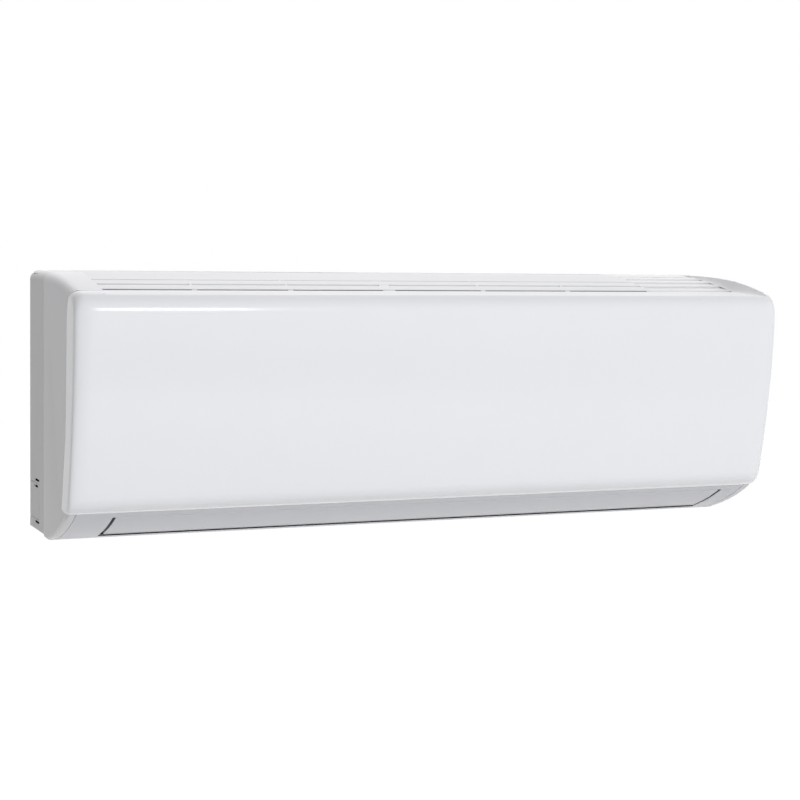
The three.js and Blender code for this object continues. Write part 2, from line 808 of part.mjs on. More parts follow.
// Heat exchanger: a bent row of three finned slabs inside the filters, drawn along its outer face
const coilShares = [[0.868, -0.375], [0.868, 0.336], [0.344, 0.868], [-0.172, 0.32]];
const coilPath = coilShares.map(withinFilters);
const coilThickness = 22;
const coilJointShare = 0.004;
const coilPlateThickness = 1.5;
const finPitch = 24;
const finGap = 2;
const finDepth = 3;

// Duct round the fan
const ductMargins = [58.5, 120.5];
const ductPlace = [ductMargins[0] - halfLength, halfLength - ductMargins[1]];
const coilShift = 2;
const coilPlace = ductPlace.map((x) => x - coilShift);

// Fan, its axis along X
const fanAxisShares = [0.25, -0.195];
const fanAxis = withinFilters(fanAxisShares);
const fanRadiusShare = 0.36;
const fanRadius = fanRadiusShare * filterRadius;
const fanEndGaps = [19, 4];
const fanPlace = [ductPlace[0] + fanEndGaps[0], ductPlace[1] - fanEndGaps[1]];
const fanBladeCount = 14;
const fanBladeDepth = 11;
const fanBladeThickness = 1.4;
const fanBladeLean = 35 * degree;
const fanDiscThickness = 3;
const fanDiscCount = 4;
const fanHubRadius = 9;
const fanHubLength = 10;
const fanRimWidth = 12;
const axleRadius = 5;

// Scroll behind the fan, from under the rear slab to the louver
const ductWall = 4;
const scrollFrom = 155 * degree;
const scrollTo = 250 * degree;
const scrollShares = [1.195, 1.52];
const scrollRadii = scrollShares.map((share) => share * fanRadius);
const scrollSteps = 10;
const scrollTopShift = [8, -18];
const scrollTop = [coilPath[3][0] + scrollTopShift[0], coilPath[3][1] + scrollTopShift[1]];
const scrollLipGap = 11.5;
const scrollLipShare = 0.0346;
const scrollLip = [louverAxis[0] - scrollLipGap, scrollLipShare * bodyHeight];

// Pipe channel along the lower back
const channelShares = [0.22, 0.2128];
const [channelDepth, channelHeight] = pointAt(channelShares);
const cornerFill = 11;
const chassisBack = [12, 14.5];
const chassisBackGap = 2;
const chassisBackTop = grilleWallLow - chassisBackGap;

function scrollPath() {
  const radii = evenSteps(...scrollRadii, scrollSteps);
  const turns = evenSteps(scrollFrom, scrollTo, scrollSteps);
  const spiral = turns.map((angle, k) => onCircle(fanAxis, radii[k], angle));
  return [scrollTop, ...spiral, scrollLip];
}

// Cheeks of the duct, drawn inside the slabs of the heat exchanger and above the louver
const cheekTopShares = [[0.65, 0.198], [0.348, 0.523], [0.307, 0.523], [0.005, 0.17]];
const cheekLowShares = [[0.425, 0.065], [0.47, 0.085], [0.6, 0.12], [0.685, 0.19]];
const cheekGap = 0.8;

const bearingOuter = 11;
const holderOuter = 18;
const collarWall = 2.7;
const bearingLength = 10;

// Motor
const motorShare = 0.297;
const motorRadius = motorShare * filterRadius;
const motorGap = 15;
const motorLength = 51;
const motorPlace = [ductPlace[1] + motorGap, ductPlace[1] + motorGap + motorLength];
const motorBossRadius = 14;
const motorBossLength = 8;
const motorRingOuter = 20;
const seatReach = 46;
const motorRingGap = 1.2;

const motorRings = [
  [motorPlace[0] - motorBossLength, motorPlace[0] - motorRingGap],
  [motorPlace[1] + motorRingGap, motorPlace[1] + motorBossLength],
];

// Brackets that hold the rear slab's end plates
const coilBracketWidth = 3;
const coilBracketReach = 2;
const coilBracketHeight = 12;

// Water pipes along the pipe channel
const pipeRadius = 6;
const pipeHoleRadius = 8;
const pipeDepthShare = 0.1435;
const pipeDepth = pipeDepthShare * bodyDepth;
const pipeDropGaps = [36, 50];
const pipeDrops = pipeDropGaps.map((gap) => ductPlace[1] + gap);
const pipeEndMargin = 37.5;
const pipeEnd = pipeEndMargin - halfLength;
const unionLength = 16;
const unionRadius = 9.6;
const unionGap = 0.8;
const pipeLowShare = 0.083;
const pipeLow = pipeLowShare * bodyHeight;
const pipeHeights = [pipeLow + 2 * unionRadius + unionGap, pipeLow];

// Covers over the pipe openings at both ends
const coverInset = 1.5;
const coverDepth = channelDepth - coverInset;
const coverShares = [0.0554, 0.1938];
const coverHeights = coverShares.map((share) => share * bodyHeight);
const coverThickness = 2.2;
const coverGap = 0.4;
const ledge = 3;
const slotLength = 19;
const slotInset = 0.5;
const slotDepths = [coverDepth - slotInset - slotLength, coverDepth - slotInset];
const slotHalf = 1.3;
const slotRise = 3.5;
const slotHeights = [coverHeights[1] + slotRise, coverHeights[0] - ledge];
const coverSlotHeight = coverHeights[1] - slotRise;

// Wall plate and its hooks
const plateHalf = 265;
const plateThickness = 1.2;
const plateWindows = [[-210, -60], [60, 210]];
const windowShares = [0.398, 0.709];
const plateWindowHeights = windowShares.map((share) => share * bodyHeight);
const hookPlaces = [-200, 200];
const hookHalf = 15;
const hookDepth = 9.5;
const hookRise = 10;
const hookTop = plateHeights[1] + hookRise;
const catchHeight = 4;
const catchDrop = 5;
const catchDepths = [4.2, 6];

// Electrical box
const boxMargins = [104.5, 14.5];
const boxPlace = boxMargins.map((margin) => halfLength - margin);
const boxLowShares = [0.44, 0.526];
const boxHighShares = [0.794, 0.851];
const boxLow = pointAt(boxLowShares);
const boxHigh = pointAt(boxHighShares);
const boxDepths = [boxLow[0], boxHigh[0]];
const boxHeights = [boxLow[1], boxHigh[1]];
const boxWall = 2;
const postHalf = 4;
const postRise = 20;
const postHeights = [boxHeights[0] + postRise, boxHeights[1] - postRise];
const postPlace = boxPlace[1] - postRise;

// The opening's edge, the ledge that carries the cover, and the slots for one end of the chassis.
function endOpening(side) {
  const outer = side * (halfLength + overrun);
  const inner = side * (halfLength - 2 * wall - 2 * overrun);
  const place = [Math.min(outer, inner), Math.max(outer, inner)];
  const hole = block(
    place,
    [-overrun, coverDepth - ledge],
    [coverHeights[0] + ledge, coverHeights[1] - ledge],
  );
  const face = [side * (halfLength - wall), outer];
  const rebate = block([Math.min(...face), Math.max(...face)], [-overrun, coverDepth], coverHeights);
  const slots = slotHeights.map((z) => block(place, slotDepths, [z - slotHalf, z + slotHalf]));
  return union(hole, rebate, ...slots);
}

function rearChassis() {
  const behind = block(endToEnd, [-overrun, seamDepth], [chassisLift, bodyHeight + overrun]);
  const skin = outerShell
    .intersect(behind)
    .subtract(slab(recessPlan(wall + seamGap), recessFloor - overrun, bodyHeight + overrun));
  const inside = [-halfLength + wall / 2, halfLength - wall / 2];
  const floor = block(inside, [channelDepth, seamDepth], [chassisLift, chassisLift + wall]);
  const back = block(inside, chassisBack, [channelHeight, chassisBackTop]);
  const ceiling = block(inside, [chassisBack[0], channelDepth + wall], [channelHeight, channelHeight + wall]);
  const channel = block(inside, [channelDepth, channelDepth + wall], [chassisLift, channelHeight + wall]);
  const ledges = bothSides(halfLength - 2 * wall, halfLength - wall / 2, (from, to) =>
    block([from, to], [chassisBack[0], channelDepth + wall / 2], [chassisLift, channelHeight + wall]),
  );
  const scroll = bar(sheet(scrollPath(), -wall), ductPlace[0] - ductWall, ductPlace[1] + ductWall);
  const corner = block(
    [ductPlace[0] - ductWall, ductPlace[1] + ductWall],
    [channelDepth - cornerFill, channelDepth],
    [channelHeight - cornerFill, channelHeight],
  );
  const trough = block(
    [ductPlace[0] - ductWall, ductPlace[1] + ductWall],
    [chassisBack[0], scrollTop[0]],
    [scrollTop[1] - wall, scrollTop[1]],
  );
  const cheekOutline = [
    ...cheekTopShares.map(withinFilters),
    ...offset(scrollPath().slice(0, -1), -wall / 2, false),
    ...cheekLowShares.map(pointAt),
  ];
  const cheek = (from, to) =>
    bar(cheekOutline, from, to).intersect(block([from, to], [0, panBack - cheekGap], [0, bodyHeight]));
  const leftCheek = cheek(ductPlace[0] - ductWall, ductPlace[0]).subtract(
    wheel(holderOuter - ductWall, fanAxis, ductPlace[0] - 2 * ductWall, ductPlace[0] + ductWall),
  );
  const collar = ring(
    holderOuter + fit + collarWall,
    holderOuter + fit,
    fanAxis,
    ductPlace[0] - fit,
    ductPlace[0] + bearingLength,
  );
  const rightCheek = cheek(ductPlace[1], ductPlace[1] + ductWall).subtract(
    wheel(fanHubRadius + fanDiscThickness, fanAxis, ductPlace[1] - overrun, ductPlace[1] + 2 * ductWall),
  );
  const seats = motorRings.map(([from, to]) =>
    block([from, to], [chassisBack[0], fanAxis[0] + seatReach], [channelHeight, fanAxis[1]]).subtract(
      wheel(motorRingOuter + fit, fanAxis, from - overrun, to + overrun),
    ),
  );
  const posts = postHeights.map((z) =>
    block(
      [postPlace - postHalf, postPlace + postHalf],
      [chassisBack[0], boxDepths[0] - fit],
      [z - postHalf, z + postHalf],
    ),
  );
  const plateReach = coilPlateThickness + 2 * fit;
  const brackets = [
    [coilPlace[0] - plateReach - coilBracketWidth, coilPlace[0] - plateReach],
    [coilPlace[1] + plateReach, coilPlace[1] + plateReach + coilBracketWidth],
  ].map((place) =>
    block(
      place,
      [chassisBack[0], coilPath[3][0] + coilBracketReach],
      [coilPath[3][1] + coilBracketReach - coilBracketHeight, coilPath[3][1] + coilBracketReach],
    ),
  );
  const catchTop = hookTop + catchHeight;
  const catches = hookPlaces.map((x) => {
    const place = [x - hookHalf, x + hookHalf];
    const shelf = block(place, [catchDepths[0], chassisBack[1]], [hookTop + fit, catchTop]);
    return shelf.add(block(place, catchDepths, [hookTop - catchDrop, catchTop]));
  });
  const spoutBoss = block(
    [spoutPlace - spoutBossHalf, spoutPlace + spoutBossHalf],
    [channelDepth, channelDepth + wall],
    [channelHeight, spoutHeight + spoutBossHalf],
  );
  const pipeHoles = pipeDrops.map((x) =>
    rod(pipeHoleRadius, [x, pipeDepth, channelHeight - overrun], [x, pipeDepth, channelHeight + 2 * overrun]),
  );
  const whole = union(
    skin,
    floor,
    back,
    ceiling,
    channel,
    ledges,
    scroll,
    corner,
    trough,
    leftCheek,
    collar,
    rightCheek,
    ...seats,
    ...posts,
    ...brackets,
    ...catches,
    spoutBoss,
  );
  return whole.subtract(union(endOpening(-1), endOpening(1), ...pipeHoles, spoutHole()));
}

// Drain pan under the front slab, with the tongue behind it and the duct's front wall below it
const panMargin = 24.5;
const panInset = 3;
const panPlace = [panMargin - halfLength, ductPlace[1] - panInset];
const panFloor = beamHeights[0];
const panBeamGap = 1;
const panFront = beamBack - panBeamGap;
const panBackGap = 5;
const panBack = coilPath[0][0] - coilThickness - panBackGap;
const panTopShares = [0.256, 0.284];
const [panFrontTop, panBackTop] = panTopShares.map((share) => share * bodyHeight);
const panKneeShare = 0.1972;
const panKnee = panKneeShare * bodyHeight;
const panFootShare = 0.1336;
const panLeanShare = 0.587;
const panFootHeight = panFootShare * bodyHeight;
const panFootBack = [panBack + panLeanShare * (panKnee - panFootHeight), panFootHeight];
const panToe = [2.7, 1.2];
const panFoot = [panFootBack[0] + panToe[0], panFootBack[1] - panToe[1]];
const panRestHalf = 2;
const panRestShares = [0.14, 0.528, 0.915];
const panRestInset = 3;
const spoutInset = 11;
const spoutPlace = panPlace[0] + spoutInset;
const spoutRise = 8;
const spoutHeight = panFloor + spoutRise;
const spoutRadius = 7.5;
const spoutWall = 1.5;
const spoutLap = 6;
const spoutEnd = channelDepth - spoutLap;
const spoutHoleRadius = 9.5;
const spoutBossHalf = 12.5;
const spoutOpeningHalf = 10;
const spoutOpeningShares = [0.0813, 0.2057];
const spoutOpeningDepths = spoutOpeningShares.map((share) => share * bodyDepth);

// Where the drain tube passes the wall of the pipe channel, and the hose goes down through its ceiling.
function spoutHole() {
  const hole = rod(
    spoutHoleRadius,
    [spoutPlace, channelDepth - overrun, spoutHeight],
    [spoutPlace, channelDepth + overrun, spoutHeight],
  );
  const opening = block(
    [spoutPlace - spoutOpeningHalf, spoutPlace + spoutOpeningHalf],
    spoutOpeningDepths,
    [channelHeight - overrun, channelHeight + overrun],
  );
  return hole.add(opening);
}

function drainPan() {
  const trough = [
    [panBack, panBackTop],
    [panBack, panKnee],
    panFootBack,
    panFoot,
    [panBack + wall, panFloor],
    [panFront, panFloor],
    [panFront, panFrontTop],
    [panFront - wall, panFrontTop],
    [panFront - wall, panFloor + wall],
    [panBack + wall, panFloor + wall],
    [panBack + wall, panBackTop],
  ];
  const clear = bar(offset(envelopePoints, wall + fit, true), ...panPlace);
  const pan = bar(trough, ...panPlace).intersect(clear);
  const ends = [
    [panPlace[0], panPlace[0] + wall],
    [panPlace[1] - wall, panPlace[1]],
  ].map((place) => block(place, [panBack, panFront], [panFloor, panFrontTop]));
  const restDepths = [coilPath[0][0] - coilThickness + panRestInset, coilPath[0][0] - panRestInset];
  const rests = panRestShares.map((share) => {
    const x = panPlace[0] + share * (panPlace[1] - panPlace[0]);
    return block([x - panRestHalf, x + panRestHalf], restDepths, [panFloor, coilPath[0][1] - fit]);
  });
  const outlet = rod(
    spoutRadius - spoutWall,
    [spoutPlace, panBack - overrun, spoutHeight],
    [spoutPlace, panBack + 2 * overrun, spoutHeight],
  );
  const sockets = vanePlaces().map((x) => vaneRod(x, vanePinRadius + fit, -2 * wall, 2 * wall, smallSides));
  return union(pan, ...ends, ...rests).subtract(outlet).subtract(union(...sockets));
}

function drainSpout() {
  const front = panBack - fit;
  const tube = rod(spoutRadius, [spoutPlace, spoutEnd, spoutHeight], [spoutPlace, front, spoutHeight]);
  const bore = rod(
    spoutRadius - spoutWall,
    [spoutPlace, spoutEnd - overrun, spoutHeight],
    [spoutPlace, front + overrun, spoutHeight],
  );
  return tube.subtract(bore);
}

// Upright vanes in the duct. Each turns about an axis that runs from the duct's front wall to its floor.
const vaneCount = 12;
const vaneMargin = 36;
const vaneFirst = ductPlace[0] + vaneMargin;
const vanePitch = (ductPlace[1] - vaneMargin - vaneFirst) / (vaneCount - 1);
const vaneWall = new THREE.Vector2(panFootBack[0] - panBack, panFootBack[1] - panKnee).normalize();
const vanePivotDrop = 2.4;
const vanePivotDepth = 1.5;
const vanePivot = [
  panBack + vanePivotDrop * vaneWall.x - vanePivotDepth * vaneWall.y,
  panKnee + vanePivotDrop * vaneWall.y + vanePivotDepth * vaneWall.x,
];
const vaneWidthShares = [0.0235, 0.3127];
const vaneWidth = vaneWidthShares.map((share) => share * filterRadius);
const vaneReachShares = [-0.1095, 0.0938];
const vaneReach = vaneReachShares.map((share) => share * filterRadius);
const vaneThickness = 1.5;
const vanePinRadius = 1.8;
const linkShare = 0.1955;
const linkThickness = 2;
const linkStart = linkShare * filterRadius - linkThickness / 2;
const linkPlace = [linkStart, linkStart + linkThickness];
const linkGapHalf = 1.4;
const linkEdges = [-2, 5.7];
const linkWidth = linkEdges.map((edge) => vaneReach[0] + edge);
const vaneNotchDepth = 7.2;
const vaneNotch = vaneReach[0] + vaneNotchDepth;
const linkPinRadius = 1.3;
const linkPinInset = 2;
const linkPinReach = vaneReach[0] + linkPinInset;
const linkSlotDepth = 5.4;
const linkSlot = [vaneReach[0], vaneReach[0] + linkSlotDepth];
const linkSlotHalf = 1.9;
const linkEnd = 6;

function vanePlaces() {
  return Array.from({ length: vaneCount }, (_, k) => vaneFirst + k * vanePitch);
}

// Places a solid that is drawn with X along the unit, Y along the air and Z along the vane's axis.
function inDuct(shape, x) {
  const axis = new THREE.Vector3(0, -vaneWall.y, -vaneWall.x);
  const along = new THREE.Vector3(1, 0, 0);
  const flow = axis.clone().cross(along);
  const matrix = new THREE.Matrix4().makeBasis(along, flow, axis);
  matrix.setPosition(x, -vanePivot[0], vanePivot[1]);
  return shape.transform(matrix.elements);
}

function plainBox([left, right], [near, far], [low, high]) {
  const geometry = new THREE.BoxGeometry(right - left, far - near, high - low);
  return solid(geometry.translate((left + right) / 2, (near + far) / 2, (low + high) / 2));
}

function vaneRod(x, radius, from, to, sides) {
  const geometry = new THREE.CylinderGeometry(radius, radius, to - from, sides);
  geometry.rotateX(quarterTurn).translate(0, 0, (from + to) / 2);
  return inDuct(solid(geometry), x);
}

function vane(x) {
  const half = vaneThickness / 2;
  const plate = plainBox([-half, half], vaneReach, vaneWidth);
  const notch = plainBox(
    [-2 * half, 2 * half],
    [vaneReach[0] - overrun, vaneNotch],
    [linkPlace[0] - linkGapHalf, linkPlace[1] + linkGapHalf],
  );
  const pinGeometry = new THREE.CylinderGeometry(
    linkPinRadius,
    linkPinRadius,
    linkPlace[1] - linkPlace[0] + 4 * linkGapHalf,
    hexSides,
  );
  pinGeometry.rotateX(quarterTurn).translate(0, linkPinReach, (linkPlace[0] + linkPlace[1]) / 2);
  const leaf = inDuct(plate.subtract(notch).add(solid(pinGeometry)), x);
  return leaf.add(vaneRod(x, vanePinRadius, -wall, vaneWidth[0] + wall, hexSides));
}

function vaneLink(places) {
  const first = places[0];
  const last = places[places.length - 1];
  const plate = plainBox([-linkEnd, last - first + linkEnd], linkWidth, linkPlace);
  const slots = places.map((x) =>
    plainBox(
      [x - first - linkSlotHalf, x - first + linkSlotHalf],
      linkSlot,
      [linkPlace[0] - overrun, linkPlace[1] + overrun],
    ),
  );
  return inDuct(plate.subtract(union(...slots)), first);
}

function crossFlowFan() {
  const length = fanPlace[1] - fanPlace[0];
  const inner = fanRadius - fanBladeDepth;
  const blades = Array.from({ length: fanBladeCount }, (_, k) => {
    const turn = (k / fanBladeCount) * fullTurn;
    const tip = onCircle(fanAxis, fanRadius - fit, turn);
    const lean = turn + (fanBladeDepth / inner) * Math.tan(fanBladeLean);
    const root = onCircle(fanAxis, inner, lean);
    return bar(sheet([tip, root], fanBladeThickness), fanPlace[0] + fit, fanPlace[1] - fit);
  });
  const discs = Array.from({ length: fanDiscCount }, (_, k) => {
    const from = fanPlace[0] + ((length - fanDiscThickness) * k) / (fanDiscCount - 1);
    const atEnd = k === 0 || k === fanDiscCount - 1;
    const to = from + fanDiscThickness;
    return atEnd
      ? wheel(fanRadius, fanAxis, from, to, 2 * fanBladeCount)
      : ring(fanRadius, fanRadius - fanRimWidth, fanAxis, from, to, 2 * fanBladeCount);
  });
  const hub = wheel(fanHubRadius, fanAxis, fanPlace[1] - fanHubLength, fanPlace[1] + fit * fanDiscThickness);
  const bore = wheel(
    axleRadius + fit,
    fanAxis,
    fanPlace[1] - fanHubLength + fanDiscThickness,
    fanPlace[1] + overrun,
  );
  const leftBore = wheel(
    axleRadius + fit,
    fanAxis,
    fanPlace[0] - overrun,
    fanPlace[0] + fanHubLength - fanDiscThickness,
  );
  const leftHub = wheel(fanHubRadius, fanAxis, fanPlace[0] + fit, fanPlace[0] + fanHubLength);
  return union(...blades, ...discs, hub, leftHub).subtract(bore).subtract(leftBore);
}

function fanAxle() {
  return wheel(axleRadius, fanAxis, ductPlace[0] - fit, fanPlace[0] + fanHubLength - fanDiscThickness - fit);
}

function fanBearing() {
  return ring(bearingOuter, axleRadius + fit, fanAxis, ductPlace[0] + fit, ductPlace[0] + bearingLength);
}

function bearingHolder() {
  return ring(holderOuter, bearingOuter + fit, fanAxis, ductPlace[0] + fit, ductPlace[0] + bearingLength);
}

function fanMotor() {
  const body = wheel(motorRadius, fanAxis, ...motorPlace, 2 * roundSides);
  const bosses = wheel(
    motorBossRadius,
    fanAxis,
    motorPlace[0] - motorBossLength,
    motorPlace[1] + motorBossLength,
  );
  const bore = wheel(
    axleRadius + fit,
    fanAxis,
    motorPlace[0] - 2 * motorBossLength,
    motorPlace[0] + 2 * motorBossLength,
  );
  return union(body, bosses).subtract(bore);
}

function motorShaft() {
  const from = fanPlace[1] - fanHubLength + fanDiscThickness + fit;
  return wheel(axleRadius, fanAxis, from, motorPlace[0] + 2 * motorBossLength - fit);
}

function motorRing([from, to]) {
  return ring(motorRingOuter, motorBossRadius + fit, fanAxis, from, to);
}

const capWall = 4;
const capWidth = 10;
const capFoot = 12;

// Holds the motor down: a half hoop over each rubber ring, joined by a strap over the motor.
function motorCap() {
  const inner = motorRingOuter + fit;
  const hoops = motorRings.map(([from, to]) => {
    const outline = arcBand(fanAxis, inner, capWall, 0, Math.PI, roundSides / 2);
    const feet = [-inner - capWall - capFoot, inner].map((start) =>
      block(
        [from, to],
        [fanAxis[0] + start, fanAxis[0] + start + capWall + capFoot],
        [fanAxis[1] + fit, fanAxis[1] + fit + capWall],
      ),
    );
    const above = block([from, to], [0, bodyDepth], [fanAxis[1] + fit, bodyHeight]);
    return union(bar(outline, from, to).intersect(above), ...feet);
  });
  const strapFrom = motorRadius + fit;
  const strap = block(
    [motorRings[0][0], motorRings[1][1]],
    [fanAxis[0] - capWidth, fanAxis[0] + capWidth],
    [fanAxis[1] + strapFrom, fanAxis[1] + strapFrom + capWall],
  );
  const legs = motorRings.map((place) =>
    block(
      place,
      [fanAxis[0] - capWidth, fanAxis[0] + capWidth],
      [fanAxis[1] + inner + fit, fanAxis[1] + strapFrom + capWall],
    ),
  );
  return union(...hoops, strap, ...legs);
}

// The corners of one slab of the heat exchanger, grown lengthwise by a share.
function coilCorners(k) {
  const back = offset(coilPath, coilThickness, false);
  const mix = (a, b, share) => [a[0] + (b[0] - a[0]) * share, a[1] + (b[1] - a[1]) * share];
  const near = coilJointShare;
  const far = 1 - coilJointShare;
  return [
    mix(coilPath[k], coilPath[k + 1], near),
    mix(coilPath[k], coilPath[k + 1], far),
    mix(back[k], back[k + 1], far),
    mix(back[k], back[k + 1], near),
  ];
}

// A slab of fins: a block with narrow grooves across its outer face.
function coilSlab(k) {
  const corners = coilCorners(k);
  const across = new THREE.Vector2(corners[3][0] - corners[0][0], corners[3][1] - corners[0][1]).normalize();
  const groove = [
    [corners[0][0] - across.x * overrun, corners[0][1] - across.y * overrun],
    [corners[1][0] - across.x * overrun, corners[1][1] - across.y * overrun],
    [corners[1][0] + across.x * finDepth, corners[1][1] + across.y * finDepth],
    [corners[0][0] + across.x * finDepth, corners[0][1] + across.y * finDepth],
  ];
  const count = Math.floor((coilPlace[1] - coilPlace[0]) / finPitch);
  const grooves = Array.from({ length: count - 1 }, (_, n) => {
    const from = coilPlace[0] + (n + 1) * finPitch;
    return bar(stretched(groove), from, from + finGap);
  });
  return bar(corners, ...coilPlace).subtract(union(...grooves));
}

// Four corners with both short ends pushed out by the overrun.
function stretched([a, b, c, d]) {
  const along = new THREE.Vector2(b[0] - a[0], b[1] - a[1]).normalize().multiplyScalar(overrun);
  return [
    [a[0] - along.x, a[1] - along.y],
    [b[0] + along.x, b[1] + along.y],
    [c[0] + along.x, c[1] + along.y],
    [d[0] - along.x, d[1] - along.y],
  ];
}

function coilEndPlate(from) {
  return bar(sheet(coilPath, coilThickness), from, from + coilPlateThickness);
}

const bendRadius = 10;
const bendTube = 4;
const bendsPerSlab = 2;
const bendSteps = 6;

// Half loops of tube on the left end plate, two to a slab.
function returnBends(x) {
  const middle = offset(coilPath, coilThickness / 2, false);
  return [0, 1, 2].flatMap((k) =>
    Array.from({ length: bendsPerSlab }, (_, n) => {
      const share = (n + 1 / 2) / bendsPerSlab;
      const a = middle[k];
      const b = middle[k + 1];
      const centre = [a[0] + (b[0] - a[0]) * share, a[1] + (b[1] - a[1]) * share];
      const along = new THREE.Vector2(b[0] - a[0], b[1] - a[1]).normalize();
      const points = evenSteps(0, Math.PI, bendSteps).map((angle) => [
        x - bendRadius * Math.sin(angle),
        centre[0] + along.x * bendRadius * Math.cos(angle),
        centre[1] + along.y * bendRadius * Math.cos(angle),
      ]);
      return pipe(points, bendTube, bendSteps, hexSides);
    }),
  );
}

const headerDepth = 5;
const headerRadius = 4;
const headerSteps = 14;
const valveSeat = 6;
const valveRadius = 2.6;
const valveCapRadius = 4;
const valveLength = 9;
const valveCap = 5;
const headerX = coilPlace[1] + coilPlateThickness + fit + headerDepth;

// The collecting tube on the right end plate follows the middle of the slabs.
function coilHeader() {
  const middle = offset(coilPath, coilThickness / 2, false);
  const route = middle.map(([d, z]) => [headerX, d, z]);
  const boss = [headerX, middle[2][0], middle[2][1]];
  const bossTop = [boss[0], boss[1], boss[2] + valveSeat];
  return pipe(route, headerRadius, headerSteps, hexSides).add(rod(valveRadius, boss, bossTop, smallSides));
}

function bleedValve() {
  const middle = offset(coilPath, coilThickness / 2, false)[2];
  const foot = middle[1] + valveSeat + fit;
  const at = (height) => [headerX, middle[0], foot + height];
  return union(
    rod(valveRadius, at(0), at(valveLength), smallSides),
    rod(valveCapRadius, at(valveLength - valveCap), at(valveLength), hexSides),
  );
}

const pipeBendSteps = 18;
const pipeStub = 4.5;
const pipeStartShares = [[0.263, 0.5813], [0.373, 0.6644]];
const pipeStarts = pipeStartShares.map(pointAt);

// A water pipe: from the header, down behind the motor and along the pipe channel to its union.
function waterPipe(k) {
  const drop = pipeDrops[k];
  const height = pipeHeights[k];
  const start = headerX + headerRadius + pipeStub;
  const [startDepth, startHeight] = pipeStarts[k];
  const turn = 3 * pipeRadius;
  const bend = pipe(
    [
      [start, startDepth, startHeight],
      [(start + drop) / 2, (startDepth + pipeDepth) / 2, startHeight - pipeRadius],
      [drop, pipeDepth, startHeight - turn - pipeRadius],
      [drop, pipeDepth, (startHeight + height) / 2],
      [drop, pipeDepth, height + turn],
      [drop - turn / 3, pipeDepth, height + turn / 3],
      [drop - turn, pipeDepth, height],
    ],
    pipeRadius,
    pipeBendSteps,
  );
  const run = rod(
    pipeRadius,
    [pipeEnd, pipeDepth, height],
    [drop - turn + fit, pipeDepth, height],
    smallSides,
  );
  const nut = wheel(
    unionRadius,
    [pipeDepth, height],
    pipeEnd - unionLength,
    pipeEnd + unionLength / 2,
    hexSides,
  );
  return union(bend, run, nut);
}

function wallPlate() {
  const plate = block([-plateHalf, plateHalf], [0, plateThickness], plateHeights);
  const windows = plateWindows.map((place) => block(place, [-overrun, overrun], plateWindowHeights));
  const hookFoot = plateHeights[1] - plateThickness;
  const hooks = hookPlaces.map((x) =>
    union(
      block([x - hookHalf, x + hookHalf], [0, hookDepth], [hookFoot, plateHeights[1]]),
      block([x - hookHalf, x + hookHalf], [hookDepth - plateThickness, hookDepth], [hookFoot, hookTop]),
    ),
  );
  return union(plate.subtract(union(...windows)), ...hooks);
}

function pipeCover(side) {
  const outer = side * halfLength;
  const inner = side * (halfLength - coverThickness);
  const place = [Math.min(outer, inner), Math.max(outer, inner)];
  const plate = block(
    place,
    [coverGap, coverDepth - coverGap],
    [coverHeights[0] + coverGap, coverHeights[1] - coverGap],
  );
  const slot = block(
    endToEnd,
    slotDepths.map((d) => d - 2 * ledge),
    [coverSlotHeight - slotHalf, coverSlotHeight + slotHalf],
  );
  return plate.subtract(slot);
}

function electricalBox() {
  const outer = block(boxPlace, boxDepths, boxHeights);
  const inner = block(
    [boxPlace[0] + boxWall, boxPlace[1] - boxWall],
    [boxDepths[0] + boxWall, boxDepths[1] + overrun],
    [boxHeights[0] + boxWall, boxHeights[1] - boxWall],
  );
  const pillars = boardCorners().map(([x, z]) =>
    rod(boardPillar, [x, boxDepths[0] + boxWall / 2, z], [x, boardBack - fit, z], smallSides),
  );
  return union(outer.subtract(inner), ...pillars);
}

const boardStand = 12;
const boardBack = boxDepths[0] + boardStand;
const boardThickness = 1.6;
const boardPillar = 3;
const boardMargin = 4;
const boardPillarInset = 10;
const boxRoom = [boxPlace[0] + boxWall + boardMargin, boxPlace[1] - boxWall - boardMargin];
const boxRoomHeights = [boxHeights[0] + boxWall + boardMargin, boxHeights[1] - boxWall - boardMargin];

function boardCorners() {
  const xs = [boxRoom[0] + boardPillarInset, boxRoom[1] - boardPillarInset];
  const zs = [boxRoomHeights[0] + boardPillarInset, boxRoomHeights[1] - boardPillarInset];
  return xs.flatMap((x) => zs.map((z) => [x, z]));
}

const transformerStarts = [10, 24];
const transformerSizes = [36, 30, 30];
const capacitorStarts = [68, 40];
const capacitorRadius = 10;
const capacitorHeight = 36;
const terminalInsets = [14, 10];
const terminalDepth = 16;
const terminalRises = [54, 72];
const boxFloor = boxHeights[0] + boxWall + fit;
const boxCoverThickness = 2;
const boxCoverLip = 6;

function transformer() {
  const [width, depth, height] = transformerSizes;
  const left = boxPlace[0] + transformerStarts[0];
  const back = boxDepths[0] + transformerStarts[1];
  const core = block([left, left + width], [back, back + depth], [boxFloor, boxFloor + height]);
  const winding = block(
    [left - wall, left + width + wall],
    [back + wall, back + depth - wall],
    [boxFloor + 2 * wall, boxFloor + height - 2 * wall],
  );
  return core.add(winding);
}

function capacitor() {
  const [x, d] = [boxPlace[0] + capacitorStarts[0], boxDepths[0] + capacitorStarts[1]];
  return rod(capacitorRadius, [x, d, boxFloor], [x, d, boxFloor + capacitorHeight]);
}

function terminalBlock() {
  const start = boardBack + boardThickness + fit;
  return block(
    [boxPlace[0] + terminalInsets[0], boxPlace[1] - terminalInsets[1]],
    [start, start + terminalDepth],
    terminalRises.map((rise) => boxHeights[0] + rise),
  );
}

